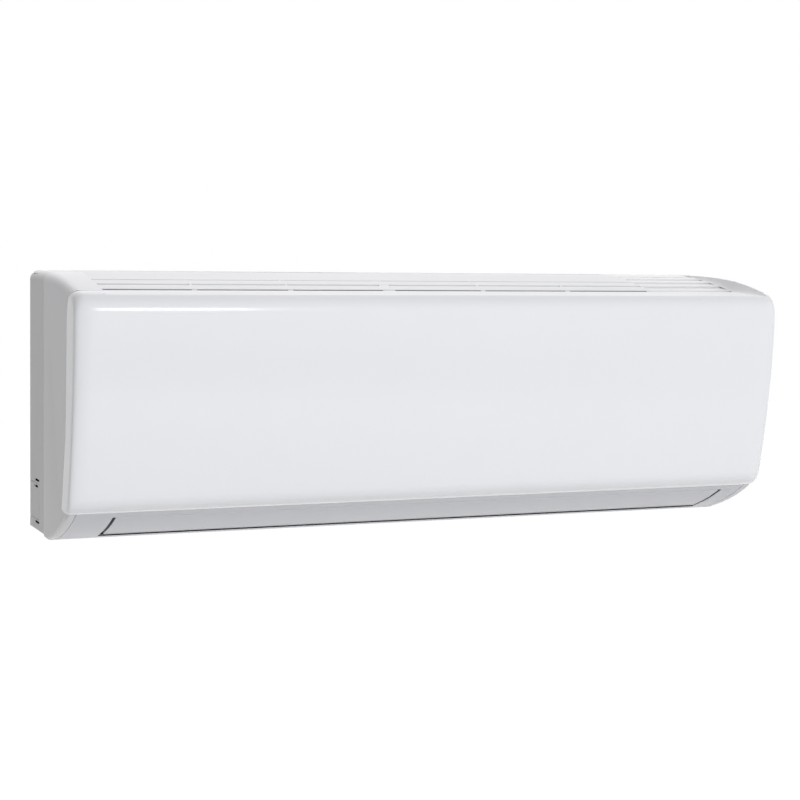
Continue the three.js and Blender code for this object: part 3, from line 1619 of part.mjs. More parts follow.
function boxCover() {
  const front = boxDepths[1] + fit;
  const plate = block(boxPlace, [front, front + boxCoverThickness], boxHeights);
  const lip = block(
    [boxPlace[0] + boxWall + fit, boxPlace[1] - boxWall - fit],
    [front - boxCoverLip, front + boxCoverThickness / 2],
    [boxHeights[1] - 2 * boxWall - fit, boxHeights[1] - boxWall - fit],
  );
  return plate.add(lip);
}

function displayHousing() {
  const back = displayBoardBack + displayBoardThickness + fit;
  const body = block(displayPlace, [back, displayFront], displayHeights);
  const lens = block(lensPlace, [back, lensFront], lensHeights);
  return body.add(lens);
}

function displayBoard() {
  const face = displayBoardBack + displayBoardThickness;
  const board = block(displayBoardPlace, [displayBoardBack, face], displayBoardHeights);
  const click = block(
    [buttonPlace[0] - switchHalf, buttonPlace[0] + switchHalf],
    [displayBoardBack, face + switchHeight],
    [buttonPlace[1] - switchHalf, buttonPlace[1] + switchHalf],
  );
  return board.add(click);
}

function autoButton() {
  const [x, z] = buttonPlace;
  const cap = rod(buttonRadius, [x, buttonBack, z], [x, buttonFront, z]);
  const collar = rod(
    buttonRadius + buttonCollar,
    [x, buttonBack, z],
    [x, buttonBack + buttonCollarThickness, z],
  );
  return cap.add(collar);
}

// A filter: a frame on the arc with ribs, and a thin mesh in its middle.
function airFilter(from, to) {
  const half = filterThickness / 2;
  const inner = filterRadius - half;
  const frame = (left, right, start, end, steps) =>
    bar(arcBand(filterCentre, inner, filterThickness, start, end, steps), left, right);
  const ribPlaces = evenSteps(from + filterBorder / 2, to - filterBorder / 2, filterRibCount + 1);
  const rails = ribPlaces.map((x, k) => {
    const railHalf = k === 0 || k === filterRibCount + 1 ? filterBorder / 2 : filterRibWidth / 2;
    return frame(x - railHalf, x + railHalf, filterFrom, filterTo, filterSteps);
  });
  const middleTurn = (filterFrom + filterTo) / 2;
  const bars = [filterFrom, middleTurn, filterTo - filterBarTurn].map((start) =>
    frame(from, to, start, start + filterBarTurn, 1),
  );
  const mesh = bar(
    arcBand(
      filterCentre,
      filterRadius - filterMeshThickness / 2,
      filterMeshThickness,
      filterFrom,
      filterTo,
      filterSteps,
    ),
    from + fit,
    to - fit,
  );
  return union(...rails, ...bars, mesh);
}

// The assembly
piece("wall_plate", wallPlate(), zinc);
piece("rear_chassis", rearChassis(), chassisWhite);
piece("front_casing", frontCasing(), satinWhite);
piece("front_panel", frontPanel(), glossWhite);
piece("outlet_frame", outletFrame(), outletSilver);
piece("louver", louver(), outletSilver);
piece("louver_shaft", louverShaft(), palePlastic);
piece("louver_motor", louverMotor(), zinc);
piece("pipe_cover_left", pipeCover(-1), chassisWhite);
piece("pipe_cover_right", pipeCover(1), chassisWhite);
piece("drain_pan", drainPan(), satinWhite);
piece("drain_spout", drainSpout(), greyPlastic);
piece("cross_flow_fan", crossFlowFan(), darkPlastic);
piece("fan_axle", fanAxle(), zinc);
piece("fan_bearing", fanBearing(), brassMetal);
piece("bearing_holder", bearingHolder(), blackRubber);
piece("fan_motor", fanMotor(), zinc);
piece("motor_shaft", motorShaft(), zinc);
piece("motor_ring_left", motorRing(motorRings[0]), blackRubber);
piece("motor_ring_right", motorRing(motorRings[1]), blackRubber);
piece("motor_cap", motorCap(), chassisWhite);
piece("coil_front", coilSlab(0), finMetal);
piece("coil_top", coilSlab(1), finMetal);
piece("coil_rear", coilSlab(2), finMetal);
const leftPlateStart = coilPlace[0] - coilPlateThickness - fit;
piece("coil_end_plate_left", union(coilEndPlate(leftPlateStart), ...returnBends(leftPlateStart)), finMetal);
piece("coil_end_plate_right", coilEndPlate(coilPlace[1] + fit), finMetal);
piece("coil_header", coilHeader(), copper);
piece("bleed_valve", bleedValve(), brassMetal);
piece("water_pipe_upper", waterPipe(0), copper);
piece("water_pipe_lower", waterPipe(1), copper);
piece("electrical_box", electricalBox(), palePlastic);
piece("electrical_box_cover", boxCover(), zinc);
const controlBoard = block(boxRoom, [boardBack, boardBack + boardThickness], boxRoomHeights);
piece("control_board", controlBoard, boardGreen);
piece("transformer", transformer(), greyPlastic);
piece("capacitor", capacitor(), darkPlastic);
piece("terminal_block", terminalBlock(), palePlastic);
piece("display_housing", displayHousing(), darkPlastic);
piece("display_board", displayBoard(), boardGreen);
piece("auto_button", autoButton(), palePlastic);
piece("air_filter_left", airFilter(leftGuide[1] + fit, middleRib[0] - fit), filterBlue);
piece("air_filter_right", airFilter(middleRib[1] + fit, rightGuide[0] - fit), filterBlue);
vanePlaces().forEach((x, k) => {
  piece("vane_" + String(k + 1).padStart(2, "0"), vane(x), outletSilver);
});
const linked = vaneCount / 2;
piece("vane_link_left", vaneLink(vanePlaces().slice(0, linked)), outletSilver);
piece("vane_link_right", vaneLink(vanePlaces().slice(linked)), outletSilver);

export default unit;
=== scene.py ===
# %% [markdown]
# # A wall fan coil unit
#
# This lesson dresses a finished CAD model of a wall fan coil unit, the white box high on a wall that
# blows warm or cool air into a room. The CAD model gives every solid its size and place, in metres.
# The origin is on the wall, behind the middle of the unit, +X is to the right, and the front looks
# along -Y. Here the front panel is made again with a smooth, rounded surface, the other solids get
# softened edges, and every surface gets a material made of nodes.

import json
import math

import bmesh
import bpy
from mathutils import Matrix, Vector


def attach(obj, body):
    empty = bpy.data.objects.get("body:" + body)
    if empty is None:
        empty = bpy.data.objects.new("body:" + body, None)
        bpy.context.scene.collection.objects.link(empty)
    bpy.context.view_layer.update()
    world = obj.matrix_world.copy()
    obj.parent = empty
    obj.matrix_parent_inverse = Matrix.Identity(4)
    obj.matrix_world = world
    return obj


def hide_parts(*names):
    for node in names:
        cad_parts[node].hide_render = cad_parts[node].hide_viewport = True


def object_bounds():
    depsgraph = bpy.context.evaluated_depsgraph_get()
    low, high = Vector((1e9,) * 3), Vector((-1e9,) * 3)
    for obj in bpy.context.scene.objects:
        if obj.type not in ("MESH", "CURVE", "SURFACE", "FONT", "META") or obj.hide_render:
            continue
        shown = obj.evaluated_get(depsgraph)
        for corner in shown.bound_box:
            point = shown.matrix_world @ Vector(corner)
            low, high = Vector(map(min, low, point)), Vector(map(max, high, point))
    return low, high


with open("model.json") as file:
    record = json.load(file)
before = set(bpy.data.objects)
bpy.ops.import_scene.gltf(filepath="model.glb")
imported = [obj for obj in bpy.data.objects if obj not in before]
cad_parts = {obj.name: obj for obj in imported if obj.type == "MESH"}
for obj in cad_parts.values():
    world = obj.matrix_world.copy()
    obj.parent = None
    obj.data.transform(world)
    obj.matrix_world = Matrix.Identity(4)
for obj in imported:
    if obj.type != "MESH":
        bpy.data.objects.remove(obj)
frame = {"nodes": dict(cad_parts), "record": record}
bpy.context.scene.view_settings.view_transform = "Standard"
nodes = frame["nodes"]
cad_box = [list(corner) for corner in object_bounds()]
body_of = {
    node: body
    for body, members in frame["record"]["behaviour"]["bodies"].items()
    for node in members
}
slot_of = {row["node"]: row["material_slot"] for row in frame["record"]["subparts"]}
print(len(nodes), "nodes, box", [[round(value, 4) for value in corner] for corner in cad_box])

# %% [markdown]
# ## The camera
#
# A photograph is matched by putting the camera where the photographer stood. The unit is seen from
# its left, a little from above, through a fairly long lens. The camera's own axes are written out
# from its turn, its tilt and a slight roll, because a matrix of axes can't be misread the way a chain
# of rotations can.

# %% Camera
CAMERA_PLACE = Vector((-0.8796, -2.0675, 0.1887))
CAMERA_LENS = 84.46
SENSOR_WIDTH = 36
camera_turn = math.radians(23.66)
camera_tilt = math.radians(-5.14)
camera_roll = math.radians(0.98)

forward = Vector(
    (
        math.sin(camera_turn) * math.cos(camera_tilt),
        math.cos(camera_turn) * math.cos(camera_tilt),
        math.sin(camera_tilt),
    )
)
level = Vector((math.cos(camera_turn), -math.sin(camera_turn), 0))
upward = level.cross(forward)
right = math.cos(camera_roll) * level + math.sin(camera_roll) * upward
up = math.cos(camera_roll) * upward - math.sin(camera_roll) * level

camera_data = bpy.data.cameras.new("camera")
camera_data.lens = CAMERA_LENS
camera_data.sensor_width = SENSOR_WIDTH
camera = bpy.data.objects.new("camera", camera_data)
bpy.context.scene.collection.objects.link(camera)
turned = Matrix((right, up, -forward)).transposed()
camera.matrix_world = Matrix.Translation(CAMERA_PLACE) @ turned.to_4x4()
bpy.context.scene.camera = camera
print("camera looks along", [round(value, 3) for value in forward])

# %% [markdown]
# ## Light and surroundings
#
# The photograph is a studio shot on white. The front is bright, the top is brighter, and the side and
# the slanted underside fall into a soft grey. A broad lamp from the right of the front lights the
# panel, a weaker one from the left gives the side its grey, a small one from the far right fills the
# right end, and one behind and above whitens the top. None of these is mirrored in the gloss. Only a
# small strip lamp is, and it draws the highlight along the panel's crown. The white surroundings are
# painted in the world and the floor for the camera and for reflections only, which keeps them white
# without pouring more light on the unit.

# %% World and floor
AMBIENT = 0.14
FLOOR_HEIGHT = -1.3
FLOOR_HALF = 12.0
FLOOR_GREY = 0.38
FLOOR_GLOW = 0.96


def link(tree, start, end):
    """Joins an output socket to an input socket."""
    tree.links.new(start, end)


def seen_ray(tree):
    """One for camera, glossy and transmission rays, zero for the rays that carry light."""
    path = tree.nodes.new("ShaderNodeLightPath")
    first = tree.nodes.new("ShaderNodeMath")
    first.operation = "MAXIMUM"
    second = tree.nodes.new("ShaderNodeMath")
    second.operation = "MAXIMUM"
    link(tree, path.outputs["Is Camera Ray"], first.inputs[0])
    link(tree, path.outputs["Is Glossy Ray"], first.inputs[1])
    link(tree, first.outputs[0], second.inputs[0])
    link(tree, path.outputs["Is Transmission Ray"], second.inputs[1])
    return second.outputs[0]


world = bpy.data.worlds.new("studio")
world.use_nodes = True
bpy.context.scene.world = world
tree = world.node_tree
background = tree.nodes["Background"]
background.inputs["Color"].default_value = (1, 1, 1, 1)
strength = tree.nodes.new("ShaderNodeMix")
strength.data_type = "FLOAT"
strength.inputs[2].default_value = AMBIENT
strength.inputs[3].default_value = 1.0
link(tree, seen_ray(tree), strength.inputs[0])
link(tree, strength.outputs[0], background.inputs["Strength"])

floor_mesh = bpy.data.meshes.new("floor")
shape = bmesh.new()
bmesh.ops.create_grid(shape, x_segments=1, y_segments=1, size=FLOOR_HALF)
bmesh.ops.translate(shape, verts=shape.verts, vec=(0, 0, FLOOR_HEIGHT))
shape.to_mesh(floor_mesh)
shape.free()
floor = bpy.data.objects.new("floor", floor_mesh)
bpy.context.scene.collection.objects.link(floor)

floor_material = bpy.data.materials.new("white_floor")
floor_material.use_nodes = True
tree = floor_material.node_tree
matte = tree.nodes["Principled BSDF"]
matte.inputs["Base Color"].default_value = (FLOOR_GREY, FLOOR_GREY, FLOOR_GREY, 1)
matte.inputs["Roughness"].default_value = 1.0
matte.inputs["Specular IOR Level"].default_value = 0.0
matte.inputs["Emission Color"].default_value = (1, 1, 1, 1)
glow = tree.nodes.new("ShaderNodeMath")
glow.operation = "MULTIPLY"
glow.inputs[1].default_value = FLOOR_GLOW
link(tree, seen_ray(tree), glow.inputs[0])
link(tree, glow.outputs[0], matte.inputs["Emission Strength"])
floor_mesh.materials.append(floor_material)
print("floor at", FLOOR_HEIGHT)

# %% Lamps
# Name, place, width and height of the lamp, power in watts, whether glossy surfaces mirror it.
# Each lamp looks at the middle of the unit.
LAMPS = [
    ("strip", (0.65, -3.4, 1.0), (0.5, 0.5), 6.0, True),
    ("front", (1.2, -4.3, 0.6), (2.4, 2.4), 106.0, False),
    ("left", (-3.1, -3.3, 0.5), (2.4, 2.4), 50.0, False),
    ("right", (3.6, -1.6, 0.9), (1.6, 1.6), 22.0, False),
    ("behind", (0.3, 2.4, 2.6), (2.4, 2.4), 165.0, False),
]
AIM = Vector((0, -0.1, 0))
for name, place, size, power, mirrored in LAMPS:
    lamp_data = bpy.data.lights.new(name, "AREA")
    lamp_data.shape = "RECTANGLE"
    lamp_data.size, lamp_data.size_y = size
    lamp_data.energy = power
    lamp = bpy.data.objects.new(name, lamp_data)
    bpy.context.scene.collection.objects.link(lamp)
    lamp.location = place
    lamp.visible_glossy = mirrored
    lamp.rotation_mode = "QUATERNION"
    lamp.rotation_quaternion = (AIM - Vector(place)).to_track_quat("-Z", "Y")
print(len(LAMPS), "lamps")

# %% [markdown]
# ## Effects that several materials share
#
# Moulded plastic is never one flat colour. Its surface has a fine grain from the mould, its shade
# drifts a little over a hand's width, and its gloss is uneven where hands and cloths have been.
# One node group makes all three from Object coordinates, and each material sets its own amounts.

# %% The shared group of surface variation
def new_group(name, inputs, outputs):
    """An empty node group with named sockets; each input has a type and a default."""
    group = bpy.data.node_groups.new(name, "ShaderNodeTree")
    for label, kind, default in inputs:
        socket = group.interface.new_socket(name=label, in_out="INPUT", socket_type=kind)
        socket.default_value = default
    for label, kind in outputs:
        group.interface.new_socket(name=label, in_out="OUTPUT", socket_type=kind)
    start = group.nodes.new("NodeGroupInput")
    end = group.nodes.new("NodeGroupOutput")
    return group, start, end


def math_node(tree, operation, first, second=None):
    """A math node whose inputs are sockets or plain numbers."""
    made = tree.nodes.new("ShaderNodeMath")
    made.operation = operation
    for place, value in enumerate((first, second)):
        if value is None:
            continue
        if isinstance(value, (int, float)):
            made.inputs[place].default_value = value
        else:
            link(tree, value, made.inputs[place])
    return made.outputs[0]


def noise(tree, coordinates, scale, detail=3.0):
    """A noise texture; the scale is a socket or a number of waves to the metre."""
    made = tree.nodes.new("ShaderNodeTexNoise")
    made.inputs["Detail"].default_value = detail
    link(tree, coordinates, made.inputs["Vector"])
    if isinstance(scale, (int, float)):
        made.inputs["Scale"].default_value = scale
    else:
        link(tree, scale, made.inputs["Scale"])
    return made.outputs[0]


COLOUR, VALUE = "NodeSocketColor", "NodeSocketFloat"
DRIFT_WAVES = 9.0
WIPE_WAVES = 38.0
GRAIN_DETAIL = 2.0
NOISE_MIDDLE = 0.5
moulded, start, end = new_group(
    "moulded surface",
    [
        ("Colour", COLOUR, (0.8, 0.8, 0.8, 1)),
        ("Drift", VALUE, 0.02),
        ("Roughness", VALUE, 0.4),
        ("Unevenness", VALUE, 0.05),
        ("Grain Scale", VALUE, 2500.0),
        ("Grain Height", VALUE, 0.3),
    ],
    [("Colour", COLOUR), ("Roughness", VALUE), ("Height", VALUE)],
)
place = moulded.nodes.new("ShaderNodeTexCoord").outputs["Object"]
slow = math_node(moulded, "SUBTRACT", noise(moulded, place, DRIFT_WAVES), NOISE_MIDDLE)
drift = math_node(moulded, "MULTIPLY", slow, start.outputs["Drift"])
shade = moulded.nodes.new("ShaderNodeHueSaturation")
link(moulded, math_node(moulded, "ADD", drift, 1.0), shade.inputs["Value"])
link(moulded, start.outputs["Colour"], shade.inputs["Color"])
link(moulded, shade.outputs[0], end.inputs["Colour"])
wiped = math_node(moulded, "SUBTRACT", noise(moulded, place, WIPE_WAVES), NOISE_MIDDLE)
uneven = math_node(moulded, "MULTIPLY", wiped, start.outputs["Unevenness"])
link(moulded, math_node(moulded, "ADD", uneven, start.outputs["Roughness"]), end.inputs["Roughness"])
grain = noise(moulded, place, start.outputs["Grain Scale"], GRAIN_DETAIL)
link(moulded, math_node(moulded, "MULTIPLY", grain, start.outputs["Grain Height"]), end.inputs["Height"])
print("group:", moulded.name)

# %% [markdown]
# ## Plastics
#
# The unit is mostly white plastic in four finishes. The front panel is polished, so it mirrors the
# strip lamp and the white room. The casing is satin, the back chassis is slightly coarser and greyer,
# and the strip round the outlet is a pale silver grey. A function makes them all, because they differ
# only in numbers. The last one is painted shade for the depth of narrow gaps: nearly black, no gloss.

# %% Plastic materials
materials = {}
COAT_ROUGHNESS = 0.03


def new_material(name):
    """A material with its tree, its Principled shader and a bump node that feeds the normal."""
    made = bpy.data.materials.new(name)
    made.use_nodes = True
    tree = made.node_tree
    shader = tree.nodes["Principled BSDF"]
    bump = tree.nodes.new("ShaderNodeBump")
    link(tree, bump.outputs[0], shader.inputs["Normal"])
    return made, tree, shader, bump


def plastic(
    name, colour, rough, drift=0.02, uneven=0.05, scale=2500.0, height=0.3, bump_size=0.00002, coat=0.0
):
    """Moulded plastic: the shared group for its colour, gloss and grain."""
    made, tree, shader, bump = new_material(name)
    group = tree.nodes.new("ShaderNodeGroup")
    group.node_tree = moulded
    group.inputs["Colour"].default_value = (*colour, 1)
    group.inputs["Drift"].default_value = drift
    group.inputs["Roughness"].default_value = rough
    group.inputs["Unevenness"].default_value = uneven
    group.inputs["Grain Scale"].default_value = scale
    group.inputs["Grain Height"].default_value = height
    link(tree, group.outputs["Colour"], shader.inputs["Base Color"])
    link(tree, group.outputs["Roughness"], shader.inputs["Roughness"])
    link(tree, group.outputs["Height"], bump.inputs["Height"])
    bump.inputs["Distance"].default_value = bump_size
    shader.inputs["Coat Weight"].default_value = coat
    shader.inputs["Coat Roughness"].default_value = COAT_ROUGHNESS
    materials[name] = made


plastic("panel_plastic", (0.80, 0.81, 0.84), 0.16, drift=0.008, uneven=0.03, scale=700, height=0.2, coat=0.4)
plastic("casing_plastic", (0.71, 0.71, 0.73), 0.38, drift=0.015)
plastic("chassis_plastic", (0.70, 0.70, 0.71), 0.5, drift=0.02, scale=1800, bump_size=0.00004)
plastic("outlet_plastic", (0.60, 0.61, 0.65), 0.34, drift=0.02)
plastic("dark_plastic", (0.024, 0.025, 0.027), 0.5, drift=0.15, bump_size=0.00003)
plastic("pale_plastic", (0.80, 0.80, 0.77), 0.42, drift=0.03)
plastic("grey_plastic", (0.23, 0.25, 0.26), 0.48, drift=0.08)
plastic("black_rubber", (0.015, 0.015, 0.016), 0.75, drift=0.2, uneven=0.12, scale=900, bump_size=0.00005)
# Painted shade: a near-black finish without gloss, for the depth of narrow gaps.
plastic("painted_gap_shade", (0.006, 0.006, 0.007), 0.9, drift=0.3)
gap_shader = materials["painted_gap_shade"].node_tree.nodes["Principled BSDF"]
gap_shader.inputs["Specular IOR Level"].default_value = 0.0
print(sorted(materials))

# %% [markdown]
# ## Metals
#
# Galvanised sheet shows large, flat crystals, which a Voronoi texture gives. Turned brass and drawn
# copper are smoother and slightly blotched, which the same texture gives at a lower strength. The heat
# exchanger's fins are thinner than any render shows one by one, so they are stripes of a bump along X.

# %% Metal materials
CLOUD_PATCHES = 3


def metal(name, colour, rough, patch_scale, patch_amount, bump_size=0.00001):
    """Bare metal whose patches differ a little in shade and gloss."""
    made, tree, shader, bump = new_material(name)
    place = tree.nodes.new("ShaderNodeTexCoord").outputs["Object"]
    cells = tree.nodes.new("ShaderNodeTexVoronoi")
    cells.inputs["Scale"].default_value = patch_scale
    link(tree, place, cells.inputs["Vector"])
    tone = tree.nodes.new("ShaderNodeSeparateColor")
    link(tree, cells.outputs["Color"], tone.inputs[0])
    cloud = noise(tree, place, patch_scale / CLOUD_PATCHES)
    mixed = math_node(tree, "MULTIPLY", math_node(tree, "ADD", tone.outputs[0], cloud), patch_amount)
    shade = tree.nodes.new("ShaderNodeHueSaturation")
    shade.inputs["Color"].default_value = (*colour, 1)
    link(tree, math_node(tree, "ADD", mixed, 1 - patch_amount), shade.inputs["Value"])
    link(tree, shade.outputs[0], shader.inputs["Base Color"])
    link(tree, math_node(tree, "ADD", mixed, rough), shader.inputs["Roughness"])
    link(tree, cloud, bump.inputs["Height"])
    bump.inputs["Distance"].default_value = bump_size
    shader.inputs["Metallic"].default_value = 1.0
    materials[name] = made
    return tree, shader, bump, place


metal("galvanised_steel", (0.55, 0.57, 0.59), 0.32, 140, 0.1)
metal("copper", (0.72, 0.33, 0.17), 0.22, 60, 0.12)
metal("brass", (0.62, 0.45, 0.18), 0.2, 90, 0.08)

FIN_PITCH = 0.0016
FIN_HALF = 0.3
FIN_DEPTH = 0.0004
CELL_MIDDLE = 0.5
tree, shader, bump, place = metal("fin_aluminium", (0.66, 0.69, 0.71), 0.3, 40, 0.08)
across = tree.nodes.new("ShaderNodeSeparateXYZ")
link(tree, place, across.inputs[0])
step = math_node(tree, "FRACT", math_node(tree, "DIVIDE", across.outputs[0], FIN_PITCH))
from_middle = math_node(tree, "ABSOLUTE", math_node(tree, "SUBTRACT", step, CELL_MIDDLE))
link(tree, math_node(tree, "LESS_THAN", from_middle, FIN_HALF), bump.inputs["Height"])
bump.inputs["Distance"].default_value = FIN_DEPTH
print("fins every", FIN_PITCH * 1000, "mm")

# %% [markdown]
# ## Circuit board and filter mesh
#
# The boards are green with paler copper traces under the lacquer, made from a brick texture. The
# filters are a plastic frame over a fine woven net, so their material is a grid of small squares.

# %% The board's material
TRACE_SCALE = 90.0
TRACE_WIDTH = 0.03
TRACE_HEIGHT = 0.00004
made, tree, shader, bump = new_material("board")
place = tree.nodes.new("ShaderNodeTexCoord").outputs["Object"]
bricks = tree.nodes.new("ShaderNodeTexBrick")
bricks.inputs["Scale"].default_value = TRACE_SCALE
bricks.inputs["Color1"].default_value = (0.020, 0.13, 0.05, 1)
bricks.inputs["Color2"].default_value = (0.028, 0.17, 0.07, 1)
bricks.inputs["Mortar"].default_value = (0.10, 0.30, 0.14, 1)
bricks.inputs["Mortar Size"].default_value = TRACE_WIDTH
turn = tree.nodes.new("ShaderNodeMapping")
turn.inputs["Rotation"].default_value = (math.pi / 2, 0, 0)
link(tree, place, turn.inputs["Vector"])
link(tree, turn.outputs[0], bricks.inputs["Vector"])
link(tree, bricks.outputs["Color"], shader.inputs["Base Color"])
link(tree, bricks.outputs["Fac"], bump.inputs["Height"])
bump.inputs["Distance"].default_value = TRACE_HEIGHT
shader.inputs["Roughness"].default_value = 0.35
materials["board"] = made
print("board traces", TRACE_SCALE, "to the metre")

# %% The filters' material
NET_PITCH = 0.0014
THREAD_HALF = 0.22
THREAD_HEIGHT = 0.0002
made, tree, shader, bump = new_material("filter_mesh")
place = tree.nodes.new("ShaderNodeTexCoord").outputs["Object"]
parts = tree.nodes.new("ShaderNodeSeparateXYZ")
link(tree, place, parts.inputs[0])
threads = []
for axis in (0, 2):
    step = math_node(tree, "FRACT", math_node(tree, "DIVIDE", parts.outputs[axis], NET_PITCH))
    near = math_node(tree, "ABSOLUTE", math_node(tree, "SUBTRACT", step, CELL_MIDDLE))
    threads.append(math_node(tree, "LESS_THAN", near, THREAD_HALF))
net = math_node(tree, "MAXIMUM", *threads)
tint = tree.nodes.new("ShaderNodeMix")
tint.data_type = "RGBA"
tint.inputs[6].default_value = (0.012, 0.035, 0.07, 1)
tint.inputs[7].default_value = (0.06, 0.16, 0.30, 1)
link(tree, net, tint.inputs[0])
link(tree, tint.outputs[2], shader.inputs["Base Color"])
link(tree, net, bump.inputs["Height"])
bump.inputs["Distance"].default_value = THREAD_HEIGHT
shader.inputs["Roughness"].default_value = 0.6
materials["filter_mesh"] = made
print(len(materials), "materials")

# %% [markdown]
# ## Softened copies of the CAD solids
#
# A CAD solid has knife edges, and no moulded or bent part has. The edge of a real part is rounded
# by a few tenths of a millimetre, and that round catches a thin line of light. Each solid is copied,
# its loose triangles are merged, and a Bevel modifier rounds every edge that is sharper than a limit.
# The casing's grille is built of steps smaller than that round, so it gets a finer one. The copy then
# stands for the CAD solid.

# %% Helpers that finish a piece
SHARP_ANGLE = math.radians(28)


def finish_piece(obj, node):
    """Puts the piece on its body, gives it its slot and material, and lets it stand for its node."""
    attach(obj, body_of[node])
    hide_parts(node)
    name = slot_of[node]
    obj.data.materials.clear()
    obj.data.materials.append(materials[name])


def add_object(name, shape):
    """Makes an object from a bmesh, which it frees."""
    mesh = bpy.data.meshes.new(name)
    shape.to_mesh(mesh)
    shape.free()
    obj = bpy.data.objects.new(name, mesh)
    bpy.context.scene.collection.objects.link(obj)
    return obj


def mark_edges(shape):
    """Smooth faces, with the edges sharper than the limit marked as sharp."""
    for face in shape.faces:
        face.smooth = True
    for edge in shape.edges:
        edge.smooth = len(edge.link_faces) == 2 and edge.calc_face_angle(0) < SHARP_ANGLE


def round_edges(obj, width, segments):
    """A live bevel on every edge that is sharper than the limit."""
    bevel = obj.modifiers.new("rounded edges", "BEVEL")
    bevel.limit_method = "ANGLE"
    bevel.angle_limit = SHARP_ANGLE
    bevel.width = width
    bevel.segments = segments
    bevel.use_clamp_overlap = False
    bevel.harden_normals = True


print("edges sharper than", round(math.degrees(SHARP_ANGLE)), "degrees are rounded")

# %% Soften the solids
WELD = 1e-6
EDGE_ROUND = 0.0003
REMADE = {"front_panel"}
FINE_EDGES = {"front_casing": (0.00008, 1)}


def soften(node, width=EDGE_ROUND, segments=2):
    """A copy of a CAD solid with rounded edges."""
    shape = bmesh.new()
    shape.from_mesh(nodes[node].data)
    bmesh.ops.remove_doubles(shape, verts=shape.verts, dist=WELD)
    mark_edges(shape)
    obj = add_object(node + "_skin", shape)
    round_edges(obj, width, segments)
    finish_piece(obj, node)


for node in nodes:
    if node not in REMADE:
        soften(node, *FINE_EDGES.get(node, ()))
print("softened", len(nodes) - len(REMADE))

# %% [markdown]
# ## The section of the unit
#
# Seen from its end, the closed unit is a flat back and a few soft bends: the belly under it, the foot
# of the panel, its long face, the crown, and the shoulder that runs back to the wall. Each bend is a
# curve with one control point. All are given as shares of the unit's depth and height, which come from
# the CAD model's box, so the smooth skin lies where the CAD solid does. Only the rounding of the
# panel's two ends is softer than the solid's.

# %% Measures and curves of the section
MM = 0.001
LOW, HIGH = (Vector(corner) for corner in cad_box)
DEPTH = -LOW.y
HEIGHT = HIGH.z - LOW.z
HALF = HIGH.x
FOOT_START = (0.794, 0.137)
FOOT = ((0.866, 0.152), (0.885, 0.2))
FACE = ((1, 0.564), (1, 0.858))
CROWN = ((1, 0.93), (0.926, 0.942))
SHOULDER = (0.804, 0.962)
BELLY = ((0.383, 0), (0.628, 0.055))
JOINT = [
    (0.794, 0.137), (0.7, 0.149), (0.718, 0.182), (0.746, 0.294), (0.785, 0.405), (0.799, 0.55),
    (0.804, 0.73), (0.812, 0.86), (0.83, 0.905), (0.875, 0.937), (0.9, 0.945),
]
PANEL_EDGE = 20 * MM
PANEL_SINK = 9 * MM
TOP_EDGE = 10 * MM
LOW_EDGE = 4 * MM
EDGE_START = 145 * MM
MEETING_STEPS = 30


def at(shares):
    """A point of the section, as depth in front of the wall and height above the lowest edge."""
    return Vector((shares[0] * DEPTH, shares[1] * HEIGHT))


def bend(start, control, end, share):
    """The point on a curve with one control point."""
    return start.lerp(control, share).lerp(control.lerp(end, share), share)


def rounded_away(from_end, radius):
    """How far an edge of this radius has rounded away at a distance from the end face."""
    inside = max(0.0, radius - from_end)
    return radius - math.sqrt(radius * radius - inside * inside)


def at_end(point, from_end):
    """A point of the section, moved by the rounding of the unit's end edges."""
    forward_share = max(0.0, (point.x - EDGE_START) / (DEPTH - EDGE_START))
    risen_share = 2 * point.y / HEIGHT - 1
    back = rounded_away(from_end, PANEL_EDGE) * forward_share * PANEL_SINK / PANEL_EDGE
    radius = TOP_EDGE if risen_share > 0 else LOW_EDGE
    return Vector((point.x - back, point.y - rounded_away(from_end, radius) * risen_share))


def joint_depth(height):
    """Depth of the joint between the panel and the casing at a height."""
    line = [at(shares) for shares in JOINT]
    for low, high in zip(line, line[1:]):
        if height <= high.y:
            share = max(0.0, (height - low.y) / (high.y - low.y))
            return low.x + (high.x - low.x) * share
    return line[-1].x


def meeting(inside, outside, from_end):
    """The last point, between one in front of the joint and one behind it, that is still in front."""
    near, far = 0.0, 1.0
    for _ in range(MEETING_STEPS):
        middle = (near + far) / 2
        point = at_end(inside.lerp(outside, middle), from_end)
        if point.x > joint_depth(point.y):
            near = middle
        else:
            far = middle
    return inside.lerp(outside, near)


print("section", round(DEPTH, 4), "by", round(HEIGHT, 4))

# %% [markdown]
# ## The front panel
#
# The panel is one large glossy moulding that mirrors the strip lamp, so its surface has to be smooth
# to the last degree. It starts as a grid. Each row of the grid is a place along the section, from the
# foot to the joint on top, and each column is a place along the unit. Towards the ends the columns
# crowd together and sink back over the rounded edge, and the outermost ones run back along the side
# to the joint. The part of the top that the casing's landing strip fills is cut out. Solidify gives
# the skin its wall of 2.5 mm inwards, and a small Bevel rounds the rim.

# %% Columns and rows of the panel
WALL = 2.5 * MM
FOOT_ROWS = 10
FACE_ROWS = 18
CROWN_ROWS = 24
TOP_ROWS = 3
NOTCH_SIDES = (-389 * MM, 411 * MM)
NOTCH_DEPTH = 199.97 * MM
EDGE_COLUMNS = 14
INNER_COLUMNS = 12
SIDE_COLUMNS = 4
INNER_MARGIN = 2 * MM
SNAP = 1 * MM
BELLY_SHARE = 0.9
RIM_ROUND = 0.4 * MM

# The row of the crown that lies on the front edge of the notch
crown_end = at(CROWN[1])
notch_share = math.sqrt((DEPTH - NOTCH_DEPTH) / (DEPTH - crown_end.x))
notch_row = round(CROWN_ROWS * notch_share)


def crown_share(row):
    """Share along the crown's curve, with one row exactly at the notch."""
    if row <= notch_row:
        return notch_share * row / notch_row
    return notch_share + (1 - notch_share) * (row - notch_row) / (CROWN_ROWS - notch_row)


